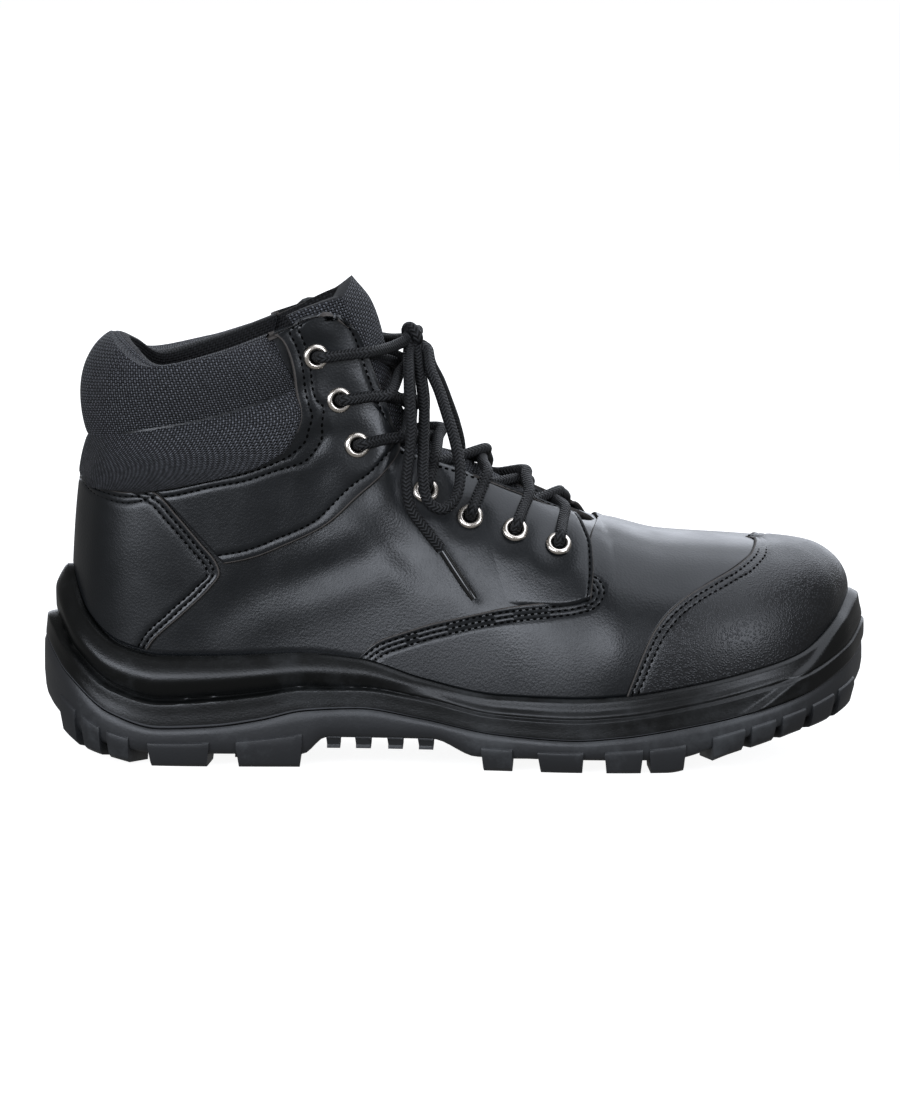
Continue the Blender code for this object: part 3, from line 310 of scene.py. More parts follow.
# Tongue from the vamp up: its middle, the throat edge that it passes under, its own side edge, how far
# that is lifted, and its share of the full padding
Section = namedtuple("Section", "centre_x centre_z edge_s edge_t margin_x margin_z lift padding")
TONGUE = (
    Section(64.0, 77.5, 11.3, 0.86, 63.0, 77.0, 0.0, 0.30),
    Section(55.0, 81.0, 10.95, 0.92, 52.0, 78.5, 0.0, 0.34),
    Section(45.0, 87.2, 10.5, 1.0, 42.0, 80.0, 0.0, 0.40),
    Section(30.0, 98.5, 9.7, 1.0, 25.0, 87.0, 0.0, 0.46),
    Section(10.0, 109.5, 9.05, 1.0, 2.5, 97.0, 0.0, 0.50),
    Section(-7.0, 117.5, 8.5, 1.0, -12.0, 102.0, 0.0, 0.54),
    Section(-16.0, 126.0, 8.0, 1.0, -31.0, 112.0, 0.0, 0.62),
    Section(-21.5, 137.0, 7.5, 1.0, -37.5, 127.0, 0.0, 0.72),
    Section(-24.5, 149.0, 7.0, 1.0, -42.0, 140.0, 0.0, 0.84),
    Section(-27.0, 161.0, 6.5, 1.0, -47.0, 153.0, 0.0, 0.94),
    Section(-31.0, 172.5, 6.05, 1.0, -57.0, 162.5, 0.0, 1.00),
    Section(-38.5, 182.0, 5.7, 1.0, -63.0, 164.0, 7.5, 0.80),
)
TONGUE_KNOTS = (0.0, 0.2, 0.28, 0.5, 0.72, 0.8, 1.0)

# Edges of the panels as they show from the side: position along the boot and height. Places are the
# shares of an edge's length at which it passes its marks.
Mark = namedtuple("Mark", "x z")
CAP_REAR = (
    Mark(65.0, 28.9), Mark(67.5, 35.6), Mark(70.9, 44.1), Mark(74.7, 51.8), Mark(80.0, 58.4),
    Mark(86.8, 63.6), Mark(96.3, 68.6), Mark(104.7, 72.4), Mark(111.2, 76.4), Mark(113.8, 80.0),
    Mark(115.2, 81.2),
)
VAMP_REAR = (
    Mark(-35.5, 42.0), Mark(-29.5, 46.7), Mark(-22.6, 49.7), Mark(-7.4, 54.5), Mark(18.0, 60.3),
    Mark(40.0, 62.9), Mark(46.6, 63.9), Mark(49.6, 64.9), Mark(50.6, 66.8), Mark(50.8, 69.5),
    Mark(50.4, 75.0), Mark(50.2, 80.0), Mark(51.2, 84.6), Mark(54.2, 88.0),
)
VAMP_PLACES = (0.0, 0.035, 0.07, 0.15, 0.28, 0.40, 0.46, 0.52, 0.58, 0.63, 0.73, 0.82, 0.91, 1.0)
# The vamp's stitch rows turn round the corner of the facing and end under it.
VAMP_SEWING = (
    *VAMP_REAR[:7], Mark(50.4, 64.9), Mark(51.2, 66.0), Mark(50.4, 67.1), Mark(46.4, 67.8),
    Mark(41.0, 68.2),
)
SEWING_PLACES = (0.0, 0.04, 0.08, 0.18, 0.33, 0.46, 0.53, 0.60, 0.68, 0.76, 0.88, 1.0)
COUNTER_FRONT = (
    Mark(-115.3, 43.2), Mark(-113.0, 46.7), Mark(-102.0, 57.0), Mark(-91.0, 67.9), Mark(-88.0, 72.5),
    Mark(-88.7, 76.0), Mark(-95.0, 84.3), Mark(-103.5, 94.4), Mark(-111.0, 102.6), Mark(-115.7, 105.0),
)
EYESTAY_REAR = (
    Mark(-113.4, 106.4), Mark(-108.0, 107.2), Mark(-94.8, 110.0), Mark(-75.8, 114.8), Mark(-61.8, 123.3),
    Mark(-58.3, 131.0), Mark(-60.6, 142.3), Mark(-66.3, 152.6), Mark(-71.0, 161.8),
)
EYESTAY_FRONT = (
    Mark(-86.4, 76.4), Mark(-77.3, 78.2), Mark(-62.9, 83.5), Mark(-48.5, 90.3), Mark(-34.8, 102.2),
    Mark(-24.9, 111.7), Mark(-21.4, 119.0), Mark(-22.6, 124.8), Mark(-27.4, 137.8), Mark(-31.7, 150.4),
    Mark(-39.0, 166.0),
)
COLLAR_EDGE = (
    Mark(-113.0, 103.0), Mark(-107.2, 103.8), Mark(-93.6, 106.6), Mark(-74.0, 111.6), Mark(-58.8, 121.2),
    Mark(-54.8, 131.0), Mark(-57.2, 143.2), Mark(-63.0, 154.2), Mark(-67.6, 163.4),
)
COLLAR_PLACES = (0.0, 0.04, 0.12, 0.21, 0.27, 0.32, 0.5, 0.78, 1.0)
FACING_FRONT = (
    Mark(51.6, 60.5), Mark(52.2, 66.0), Mark(52.6, 73.0), Mark(51.6, 81.6), Mark(48.6, 87.0),
    Mark(44.0, 91.0),
)
FACING_REAR = (
    Mark(14.0, 57.0), Mark(12.0, 66.0), Mark(8.0, 76.0), Mark(4.0, 88.0), Mark(2.0, 98.0),
    Mark(0.0, 106.6),
)
COUNTER_TOP = 106.6
COLLAR_BOTTOM = 103.0
LIP_CLEAR = 0.9

EYELETS = (
    Mark(-52.3, 154.6), Mark(-43.5, 137.7), Mark(-36.7, 120.5), Mark(-10.5, 102.8),
    Mark(6.3, 93.3), Mark(23.0, 88.0), Mark(39.3, 82.0),
)
ON_EYESTAY = 3


# Curves and the surface of the last

def smooth(xs, ys, x):
    """Smooth curve through the points (xs, ys) that never overshoots them, read at an array x."""
    xs, ys = np.asarray(xs, float), np.asarray(ys, float)
    width = np.diff(xs)
    slope = np.diff(ys) / width
    tangent = np.empty_like(ys)
    tangent[0], tangent[-1] = slope[0], slope[-1]
    product = slope[:-1] * slope[1:]
    total = np.where(product > 0.0, slope[:-1] + slope[1:], 1.0)
    tangent[1:-1] = np.where(product > 0.0, 2.0 * product / total, 0.0)
    x = np.clip(x, xs[0], xs[-1])
    i = np.clip(np.searchsorted(xs, x, side="left") - 1, 0, len(xs) - 2)
    f = (x - xs[i]) / width[i]
    ease = f * f * (3.0 - 2.0 * f)
    start = f * (1.0 - f) ** 2 * width[i] * tangent[i]
    end = f * f * (f - 1.0) * width[i] * tangent[i + 1]
    return ys[i] + (ys[i + 1] - ys[i]) * ease + start + end


def step_up(low, high, x):
    """0 below low, 1 above high, with a smooth rise between them."""
    f = np.clip((x - low) / (high - low), 0.0, 1.0)
    return f * f * (3.0 - 2.0 * f)


def level(column, x):
    """Height of one column of LEVELS at x."""
    return smooth([row.x for row in LEVELS], [getattr(row, column) for row in LEVELS], x)


def with_ghosts(values, ghosts):
    """A column with one value before and after it, so that both sides of the boot join smoothly."""
    return np.array([ghosts[1], *values, ghosts[-2]])


POSITIONS = np.arange(-1.0, TOE + 2.0)


def column_table(side):
    """Columns of both rib tables for one side of the boot, in millimetres."""
    outer = [-row.outer * BALL_WIDTH for row in RIBS]
    inner = [row.inner * BALL_WIDTH for row in RIBS]
    own, other = (outer, inner) if side == OUTER else (inner, outer)
    table = {"y": with_ghosts(own, other)}
    for name in ("along", "top_along", "spine"):
        values = [HEEL_X + LAST_LENGTH * getattr(row, name) for row in RIBS]
        table[name] = with_ghosts(values, values)
    half = [row.top_half * BALL_WIDTH for row in RIBS]
    table["top_half"] = np.array([-half[1], *half, 0.0])
    for name, scale in (("ridge", BALL_WIDTH), ("rise", SHAFT_HEIGHT), ("roundness", 1.0), ("bulge", 1.0)):
        values = [getattr(row, name) * scale for row in RIBS]
        table[name] = with_ghosts(values, values)
    for name in Side._fields:
        values = [getattr(row, name) for row in SIDES]
        table[name] = with_ghosts(values, values)
    return table


TABLES = {side: column_table(side) for side in (OUTER, INNER)}


def read(side, name, s):
    """Values of a rib column at rib positions s, counted from the heel back."""
    return smooth(POSITIONS, TABLES[side][name], s)


def stack(*parts):
    """Points from their coordinates."""
    return np.stack(np.broadcast_arrays(*parts), axis=-1)


def unit(vectors):
    """Vectors scaled to length 1."""
    return vectors / np.maximum(np.linalg.norm(vectors, axis=-1, keepdims=True), 1e-12)


def foot(side, s):
    """Points of the upper on the lip of the sole."""
    return stack(read(side, "along", s), read(side, "y", s), read(side, "lip", s))


def top(side, s):
    """Points of the top line, or of the vamp's ridge past the throat."""
    s = np.asarray(s, float)
    half = read(side, "top_half", s)
    share = np.clip(s - THROAT_ROUND, 0.0, 1.0)
    rounded = RIBS[THROAT_ROUND].top_half * BALL_WIDTH * np.sqrt(1.0 - share * share)
    half = np.where(s > THROAT_ROUND, rounded, half)
    half = np.where(s >= THROAT, 0.0, half)
    return stack(read(side, "top_along", s), read(side, "ridge", s) + side * half, read(side, "rise", s))


def around(side, s):
    """Foot line carried on past the heel back and the toe tip to the other side."""
    s = np.asarray(s, float)
    wrapped = np.where(s < 0.0, -s, np.where(s > TOE, 2 * TOE - s, s))
    crossed = (s < 0.0) | (s > TOE)
    if not crossed.any():
        return foot(side, s)
    return np.where(crossed[..., None], foot(-side, wrapped), foot(side, wrapped))


def plan_normal(side, s):
    """Outward direction of the foot line, level with the floor."""
    step = 0.05
    s = np.asarray(s, float)
    run = around(side, s + step) - around(side, s - step)
    return unit(stack(run[..., 1], -run[..., 0], 0.0 * s)) * -side


def centre(side, s):
    """Points of the boot's middle line that belong to ribs s."""
    return stack(read(side, "spine", s), 0.5 * (read(OUTER, "y", s) + read(INNER, "y", s)), 0.0)


def rib_surface(side, s, t):
    """Outside of the upper within one side: rib s, from the lip at t = 0 to the top at t = 1."""
    low, high = foot(side, s), top(side, s)
    soft = read(side, "ridge", s) + side * read(side, "top_half", s)
    high[..., 1] = soft + (high[..., 1] - soft) * step_up(THROAT_SOFT, 1.0, t)
    roundness = read(side, "roundness", s)
    angle = t * math.pi / 2.0
    power = 2.0 / ROUND_POWER
    inward = (1.0 - roundness) * t + roundness * (1.0 - np.maximum(np.cos(angle), 0.0) ** power)
    upward = (1.0 - roundness) * t + roundness * np.maximum(np.sin(angle), 0.0) ** power
    swell = plan_normal(side, s) * (read(side, "bulge", s) * np.sin(math.pi * t))[..., None]
    points = low + (high - low) * inward[..., None] + swell
    points[..., 2] = low[..., 2] + (high[..., 2] - low[..., 2]) * upward
    return points


def surface(side, s, t):
    """Outside of the upper, carried on over the heel back, the toe tip and the ridge of the vamp."""
    s, t = np.broadcast_arrays(np.asarray(s, float), np.asarray(t, float))
    crossed = (s < 0.0) | (s > TOE)
    s = np.where(s < 0.0, -s, np.where(s > TOE, 2 * TOE - s, s))
    over = (t > 1.0) & (s >= THROAT)
    t = np.where(over, 2.0 - t, t)
    crossed = crossed ^ over
    if not crossed.any():
        return rib_surface(side, s, t)
    return np.where(crossed[..., None], rib_surface(-side, s, t), rib_surface(side, s, t))


def normal(side, s, t):
    """Outward direction of the upper's surface."""
    ds, dt = 0.03, 0.015
    s, t = np.broadcast_arrays(np.asarray(s, float), np.asarray(t, float))
    high = np.where((t + dt <= 1.0) | (s >= THROAT), t + dt, t)
    low = np.maximum(t - dt, 0.0)
    along = surface(side, s + ds, t) - surface(side, s - ds, t)
    up = surface(side, s, high) - surface(side, s, low)
    return unit(np.cross(along, up)) * -side


def margin(side, s):
    """Lower edge of the upper, tucked into the cup of the sole."""
    points = foot(side, s) - plan_normal(side, s) * MARGIN_TUCK
    points[..., 2] = level("floor", points[..., 0]) + MARGIN_LIFT
    return points


LOCATE_ROUNDS = 4
BISECTIONS = 24


def locate(side, x, z):
    """Rib position and height share of the surface point that shows at x, z from the side."""
    s, t = np.meshgrid(np.linspace(0.0, TOE, 161), np.linspace(0.0, 1.0, 61), indexing="ij")
    step_s, step_t = 0.1, 1.0 / 60.0
    near = np.linspace(-1.5, 1.5, 31)
    for _ in range(LOCATE_ROUNDS):
        points = surface(side, s, t)
        miss = np.hypot(points[..., 0] - x, points[..., 2] - z)
        best = np.unravel_index(np.argmin(miss), miss.shape)
        mid_s, mid_t = s[best], t[best]
        near_s = np.clip(mid_s + near * step_s, 0.0, TOE)
        near_t = np.clip(mid_t + near * step_t, 0.0, 1.0)
        s, t = np.meshgrid(near_s, near_t, indexing="ij")
        step_s, step_t = step_s / 10.0, step_t / 10.0
    return float(mid_s), float(mid_t)


def share_at(side, s, z):
    """Height shares of ribs s at heights z, kept just above the lip of the sole."""
    low_z, high_z = read(side, "lip", s), read(side, "rise", s)
    roundness = read(side, "roundness", s)
    low = LIP_CLEAR / (high_z - low_z)
    floor_share = low.copy()
    high = np.ones_like(low)
    wanted = (z - low_z) / (high_z - low_z)
    for _ in range(BISECTIONS):
        mid = 0.5 * (low + high)
        rounded = np.sin(mid * math.pi / 2.0) ** (2.0 / ROUND_POWER)
        upward = (1.0 - roundness) * mid + roundness * rounded
        low, high = np.where(upward < wanted, mid, low), np.where(upward < wanted, high, mid)
    return np.maximum(high, floor_share)


def run_places(marks):
    """Shares of an edge's length at which it passes its marks."""
    runs = [math.dist(first, second) for first, second in zip(marks, marks[1:])]
    return np.concatenate([[0.0], np.cumsum(runs)]) / sum(runs)


def edge_curve(side, marks, places=None):
    """Curve through marks seen from the side: a function from 0..1 to rib position and height."""
    ribs = [locate(side, mark.x, mark.z)[0] for mark in marks]
    heights = [mark.z for mark in marks]
    places = run_places(marks) if places is None else places
    return lambda share: (smooth(places, ribs, share), smooth(places, heights, share))


PATH_FINE = 24


def smooth_path(points, steps):
    """Evenly stepped points on a smooth curve through a few points."""
    points = np.asarray(points, float)
    ghosts = np.vstack([2.0 * points[0] - points[1], points, 2.0 * points[-1] - points[-2]])
    fine = []
    for i in range(len(points) - 1):
        p0, p1, p2, p3 = ghosts[i:i + 4]
        f = np.linspace(0.0, 1.0, PATH_FINE, endpoint=False)[:, None]
        fine.append(0.5 * (2.0 * p1 + (p2 - p0) * f + (2.0 * p0 - 5.0 * p1 + 4.0 * p2 - p3) * f * f
                           + (3.0 * p1 - p0 - 3.0 * p2 + p3) * f ** 3))
    return evenly(np.vstack([*fine, points[-1:]]), steps)


def runs_along(line):
    """Distance of each point of a line from its start, along it."""
    return np.concatenate([[0.0], np.cumsum(np.linalg.norm(np.diff(line, axis=0), axis=1))])


def evenly(line, steps):
    """A line of points stepped again at equal distances."""
    runs = runs_along(line)
    wanted = np.linspace(0.0, runs[-1], steps + 1)
    return np.stack([np.interp(wanted, runs, line[:, axis]) for axis in range(3)], axis=-1)


def line_length(line):
    """Length of a line of points."""
    return float(np.linalg.norm(np.diff(line, axis=0), axis=1).sum())


# Meshes

WELD = 0.02
TUBE_WELD = 0.005
TINY = 0.001
SHARP_ANGLE = 42.0
UPRIGHT = 0.9
TUBE_SIDES = 12


def lengths_uv(points):
    """Map of a block of points in metres, along its rows and its columns."""
    runs = []
    for axis in (0, 1):
        step = np.linalg.norm(np.diff(points, axis=axis), axis=-1).mean(axis=1 - axis)
        runs.append(np.concatenate([[0.0], np.cumsum(step)]) * MM)
    return np.stack(np.meshgrid(*runs, indexing="ij"), axis=-1)


def add_sheet(bm, points, flip=False, uv=None, slot=0, weights=None):
    """Map a grid onto a block of points, with its UV map, material slot or slots and padding weights."""
    across, along = points.shape[0] - 1, points.shape[1] - 1
    uv = lengths_uv(points) if uv is None else uv
    layer = bm.loops.layers.uv.verify()
    deform = bm.verts.layers.deform.verify()
    grid = bmesh.ops.create_grid(bm, x_segments=across, y_segments=along, size=1.0)
    cells = {}
    for vert in grid["verts"]:
        cell = (round((vert.co.x + 1.0) / 2.0 * across), round((vert.co.y + 1.0) / 2.0 * along))
        cells[vert] = cell
        vert.co = Vector(points[cell]) * MM
        if weights is not None:
            vert[deform][0] = float(weights[cell])
    faces = {face for vert in cells for face in vert.link_faces}
    for face in faces:
        low = np.min([cells[vert] for vert in face.verts], axis=0)
        face.material_index = slot if isinstance(slot, int) else int(slot[tuple(low)])
        for loop in face.loops:
            loop[layer].uv = uv[cells[loop.vert]]
    if flip:
        bmesh.ops.reverse_faces(bm, faces=list(faces))


def finish_piece(name, bm, looks, weld=WELD, recalc=False):
    """Weld a bmesh into a named, smooth-shaded object with its materials."""
    bmesh.ops.remove_doubles(bm, verts=bm.verts, dist=weld * MM)
    bmesh.ops.dissolve_degenerate(bm, edges=bm.edges, dist=TINY * MM)
    if recalc:
        bmesh.ops.recalc_face_normals(bm, faces=bm.faces)
    mesh = bpy.data.meshes.new(name)
    bm.to_mesh(mesh)
    bm.free()
    mesh.shade_smooth()
    mesh.set_sharp_from_angle(angle=math.radians(SHARP_ANGLE))
    for look in looks:
        mesh.materials.append(look)
    made = bpy.data.objects.new(name, mesh)
    bpy.context.scene.collection.objects.link(made)
    return made


def join_into(bm, other):
    """Move the faces of one bmesh into another."""
    mesh = bpy.data.meshes.new("joined")
    other.to_mesh(mesh)
    other.free()
    bm.from_mesh(mesh)
    bpy.data.meshes.remove(mesh)


def thicken(piece, thickness, inside=0, rim=0, group=None):
    """Give an open sheet its wall, inwards from its face, with slots for its inside and its rim."""
    wall = piece.modifiers.new("wall", "SOLIDIFY")
    wall.thickness = thickness * MM
    wall.offset = -1.0
    wall.material_offset = inside
    wall.material_offset_rim = rim
    wall.use_rim = True
    if group:
        piece.vertex_groups.new(name=group)
        wall.vertex_group = group
    return piece


def frames_along(path):
    """Two cross directions of a path, carried along it without twist."""
    tangents = unit(np.gradient(path, axis=0))
    helper = np.array([0.0, 0.0, 1.0] if abs(tangents[0][2]) < UPRIGHT else [1.0, 0.0, 0.0])
    side = unit(np.cross(tangents[0], helper))
    sides = []
    for tangent in tangents:
        side = unit(side - tangent * np.dot(side, tangent))
        sides.append(side)
    sides = np.array(sides)
    return sides, np.cross(tangents, sides)


def add_tube(bm, path, radius, taper=None):
    """Closed round tube along a path in millimetres, with UV round it and along it in metres."""
    side, rise = frames_along(path)
    angle = np.linspace(0.0, 2.0 * math.pi, TUBE_SIDES + 1)
    size = radius * (np.ones(len(path)) if taper is None else taper)
    ring = np.cos(angle)[:, None, None] * side[None] + np.sin(angle)[:, None, None] * rise[None]
    points = path[None] + ring * size[None, :, None]
    around = angle / (2.0 * math.pi)
    uv = np.stack(np.meshgrid(around, runs_along(path) * MM, indexing="ij"), axis=-1)
    add_sheet(bm, points, uv=uv)


def close_ends(bm):
    """Weld tube seams and fill their ends."""
    bmesh.ops.remove_doubles(bm, verts=bm.verts, dist=TUBE_WELD * MM)
    bmesh.ops.holes_fill(bm, edges=[edge for edge in bm.edges if edge.is_boundary], sides=0)
    bmesh.ops.recalc_face_normals(bm, faces=bm.faces)


# Materials

def tint(code):
    """Linear colour of an sRGB hex value."""
    parts = [int(code[i:i + 2], 16) / 255.0 for i in (1, 3, 5)]
    linear = [part / 12.92 if part <= 0.04045 else ((part + 0.055) / 1.055) ** 2.4 for part in parts]
    return (*linear, 1.0)


def darker(colour, share):
    """A share of a linear colour."""
    return (*(share * part for part in colour[:3]), 1.0)


def grain_scale(size):
    """Scale of a pattern whose grains are so many millimetres wide."""
    return 1.0 / (size * MM)


def node(tree, kind, inputs=None, **settings):
    """Add a node with settings; its inputs are values or the outputs of other nodes."""
    made = tree.nodes.new(kind)
    for name, value in settings.items():
        setattr(made, name, value)
    for socket, value in (inputs or {}).items():
        if isinstance(value, bpy.types.NodeSocket):
            tree.links.new(value, made.inputs[socket])
        else:
            made.inputs[socket].default_value = value
    return made


def start(name):
    """A new material with the call that adds its nodes, its shader and its coordinates."""
    made = bpy.data.materials.new(name)
    made.use_nodes = True
    add = partial(node, made.node_tree)
    return made, add, made.node_tree.nodes["Principled BSDF"], add("ShaderNodeTexCoord")


def connect(shader, **sockets):
    """Link outputs to named sockets of a shader, or set plain values on them."""
    for name, value in sockets.items():
        socket = shader.inputs[name.replace("_", " ")]
        if isinstance(value, bpy.types.NodeSocket):
            shader.id_data.links.new(value, socket)
        else:
            socket.default_value = value


def sprayed_leather(colour, name, pore, depth, rough, pebbled=False):
    """Cowhide under a sprayed film, smooth with fine pores or embossed with domed pebbles."""
    made, add, shader, place = start(name)
    spot = place.outputs["Object"]
    pores = add("ShaderNodeTexVoronoi", {"Vector": spot, "Scale": grain_scale(pore)}, feature="F1")
    # Fibre bundles are about 0.1 mm wide. They are drawn coarser, so that they show.
    fibre = add("ShaderNodeTexNoise", {"Vector": spot, "Scale": grain_scale(0.769), "Detail": 3.0})
    # Clouds of the sprayed film are a few centimetres wide.
    haze = add("ShaderNodeTexNoise",
               {"Vector": spot, "Scale": grain_scale(26.3), "Detail": 6.0, "Roughness": 0.62})
    dark = darker(colour, 0.4 if pebbled else 0.72)
    dome = add("ShaderNodeMapRange",
               {"Value": pores.outputs["Distance"], "From Min": 0.1, "From Max": 0.62, "To Min": 1.0,
                "To Max": 0.0}, interpolation_type="SMOOTHSTEP")
    shade = dome if pebbled else haze
    tone = add("ShaderNodeMix", {0: shade.outputs[0], 6: dark, 7: colour}, data_type="RGBA")
    gloss = add("ShaderNodeMapRange",
                {"Value": haze.outputs["Fac"], "From Min": 0.3, "From Max": 0.7, "To Min": rough - 0.06,
                 "To Max": rough + 0.08})
    relief = dome.outputs[0] if pebbled else pores.outputs["Distance"]
    grain = add("ShaderNodeMath", {0: fibre.outputs["Fac"], 1: 0.1 if pebbled else 0.35, 2: relief},
                operation="MULTIPLY_ADD")
    bump = add("ShaderNodeBump", {"Height": grain.outputs[0], "Strength": 0.8, "Distance": depth * MM})
    connect(shader, Base_Color=tone.outputs[2], Roughness=gloss.outputs[0], Normal=bump.outputs[0],
            Coat_Weight=0.06, Coat_Roughness=0.3, Specular_IOR_Level=0.44)
    return made


def raw_edge(colour):
    """Cut edge of leather: matt, with torn fibres."""
    made, add, shader, place = start("leather_cut_edge_raw")
    # Torn fibres are about 0.1 mm wide. They are drawn coarser, so that they show.
    fibre = add("ShaderNodeTexNoise",
                {"Vector": place.outputs["Object"], "Scale": grain_scale(0.667), "Detail": 4.0})
    tone = add("ShaderNodeMix", {0: fibre.outputs["Fac"], 6: darker(colour, 0.35), 7: colour},
               data_type="RGBA")
    bump = add("ShaderNodeBump", {"Height": fibre.outputs["Fac"], "Strength": 0.6, "Distance": 0.2 * MM})
    connect(shader, Base_Color=tone.outputs[2], Roughness=0.8, Normal=bump.outputs[0])
    return made


def woven_nylon(colour, name, pitch, depth):
    """Plain weave: crowned threads that pass over and under each other, with dark gaps."""
    made, add, shader, place = start(name)
    scaled = add("ShaderNodeVectorMath", {0: place.outputs["UV"], "Scale": math.pi / (pitch * MM)},
                 operation="SCALE")
    parts = add("ShaderNodeSeparateXYZ", {0: scaled.outputs[0]})
    warp = add("ShaderNodeMath", {0: parts.outputs[0]}, operation="SINE")
    weft = add("ShaderNodeMath", {0: parts.outputs[1]}, operation="SINE")
    both = add("ShaderNodeMath", {0: warp.outputs[0], 1: weft.outputs[0]}, operation="MULTIPLY")
    over = add("ShaderNodeMath", {0: both.outputs[0], 1: 0.0}, operation="GREATER_THAN")
    warp_height = add("ShaderNodeMath", {0: warp.outputs[0]}, operation="ABSOLUTE")
    weft_height = add("ShaderNodeMath", {0: weft.outputs[0]}, operation="ABSOLUTE")
    crown = add("ShaderNodeMath", {0: both.outputs[0]}, operation="ABSOLUTE")
    thread = add("ShaderNodeMix",
                 {0: over.outputs[0], 2: weft_height.outputs[0], 3: warp_height.outputs[0]},
                 data_type="FLOAT")
    height = add("ShaderNodeMath", {0: crown.outputs[0], 1: 0.5, 2: thread.outputs[0]},
                 operation="MULTIPLY_ADD")
    # Rubbed spots are a thread or two wide.
    fuzz = add("ShaderNodeTexNoise",
               {"Vector": place.outputs["Object"], "Scale": grain_scale(1.43), "Detail": 4.0})
    crest = add("ShaderNodeMapRange", {"Value": height.outputs[0], "From Min": 0.65, "From Max": 1.15})
    worn = add("ShaderNodeMapRange",
               {"Value": fuzz.outputs["Fac"], "From Min": 0.3, "From Max": 0.7, "To Min": 0.45,
                "To Max": 1.0})
    turned = add("ShaderNodeMapRange", {"Value": over.outputs[0], "To Min": 0.4, "To Max": 1.0})
    lit = add("ShaderNodeMath", {0: crest.outputs[0], 1: turned.outputs[0]}, operation="MULTIPLY")
    shade = add("ShaderNodeMath", {0: lit.outputs[0], 1: worn.outputs[0]}, operation="MULTIPLY")
    tone = add("ShaderNodeMix", {0: shade.outputs[0], 6: darker(colour, 0.02), 7: colour}, data_type="RGBA")
    bump = add("ShaderNodeBump", {"Height": height.outputs[0], "Strength": 1.0, "Distance": depth * MM})
    connect(shader, Base_Color=tone.outputs[2], Roughness=0.72, Normal=bump.outputs[0],
            Specular_IOR_Level=0.3)
    return made


def moulded_rubber(colour, name, rough, dust, bead, shine=0.35):
    """Moulded sole compound: even skin with a fine mould texture, rubbed and dusty in places."""
    made, add, shader, place = start(name)
    spot = place.outputs["Object"]
    skin = add("ShaderNodeTexNoise", {"Vector": spot, "Scale": grain_scale(bead), "Detail": 3.0})
    # Dusty patches are a few centimetres wide.
    patch = add("ShaderNodeTexNoise",
                {"Vector": spot, "Scale": grain_scale(38.5), "Detail": 7.0, "Roughness": 0.7})
    worn = add("ShaderNodeMapRange",
               {"Value": patch.outputs["Fac"], "From Min": 0.52, "From Max": 0.75, "To Min": 0.0,
                "To Max": dust})
    tone = add("ShaderNodeMix", {0: worn.outputs[0], 6: colour, 7: tint("#55585a")}, data_type="RGBA")
    gloss = add("ShaderNodeMapRange",
                {"Value": patch.outputs["Fac"], "From Min": 0.3, "From Max": 0.7, "To Min": rough - 0.06,
                 "To Max": rough + 0.1})
    bump = add("ShaderNodeBump", {"Height": skin.outputs["Fac"], "Strength": 0.5, "Distance": 0.12 * MM})
    connect(shader, Base_Color=tone.outputs[2], Roughness=gloss.outputs[0], Normal=bump.outputs[0],
            Specular_IOR_Level=shine)
    return made


def plated_nickel(colour):
    """Bright nickel plate on stamped brass: warm silver with faint drawing marks."""
    made, add, shader, place = start("brass_stamped_nickel_plated")
    # Drawing marks are below 0.1 mm. They are drawn coarser, so that they show in the gloss.
    marks = add("ShaderNodeTexNoise",
                {"Vector": place.outputs["Object"], "Scale": grain_scale(1.11), "Detail": 4.0})
    gloss = add("ShaderNodeMapRange", {"Value": marks.outputs["Fac"], "To Min": 0.16, "To Max": 0.34})
    connect(shader, Base_Color=colour, Metallic=1.0, Roughness=gloss.outputs[0])
    return made


BRAID_FOLDS = 8.0
YARN_SLOPE = 0.8


def braided_cord(colour, pitch):
    """Round braided polyester lace: chevrons of plaited yarn, dry and slightly shiny on the crowns."""
    made, add, shader, place = start("polyester_round_braid")
    parts = add("ShaderNodeSeparateXYZ", {0: place.outputs["UV"]})
    fold = add("ShaderNodeMath", {0: parts.outputs[0], 1: 1.0 / BRAID_FOLDS}, operation="PINGPONG")
    along = add("ShaderNodeMath", {0: parts.outputs[1], 1: math.pi / (pitch * MM)}, operation="MULTIPLY")
    phase = add("ShaderNodeMath",
                {0: fold.outputs[0], 1: BRAID_FOLDS * math.pi * YARN_SLOPE, 2: along.outputs[0]},
                operation="MULTIPLY_ADD")
    wave = add("ShaderNodeMath", {0: phase.outputs[0]}, operation="SINE")
    yarn = add("ShaderNodeMath", {0: wave.outputs[0]}, operation="ABSOLUTE")
    crest = add("ShaderNodeMapRange", {"Value": yarn.outputs[0], "From Min": 0.4, "From Max": 1.0})
    tone = add("ShaderNodeMix", {0: crest.outputs[0], 6: darker(colour, 0.06), 7: colour}, data_type="RGBA")
    bump = add("ShaderNodeBump", {"Height": yarn.outputs[0], "Strength": 1.0, "Distance": 0.5 * MM})
    connect(shader, Base_Color=tone.outputs[2], Roughness=0.62, Normal=bump.outputs[0],
            Specular_IOR_Level=0.35)
    return made


def plain_fibre(colour, name, rough, tuft, shine=0.5):
    """Felt or thread seen from a distance: dull, with a fine random pile."""
    made, add, shader, place = start(name)
    pile = add("ShaderNodeTexNoise",
               {"Vector": place.outputs["Object"], "Scale": grain_scale(tuft), "Detail": 5.0})
    tone = add("ShaderNodeMix", {0: pile.outputs["Fac"], 6: darker(colour, 0.4), 7: colour},
               data_type="RGBA")
    bump = add("ShaderNodeBump", {"Height": pile.outputs["Fac"], "Strength": 0.8, "Distance": 0.3 * MM})
    connect(shader, Base_Color=tone.outputs[2], Roughness=rough, Normal=bump.outputs[0],
            Specular_IOR_Level=shine)
    return made


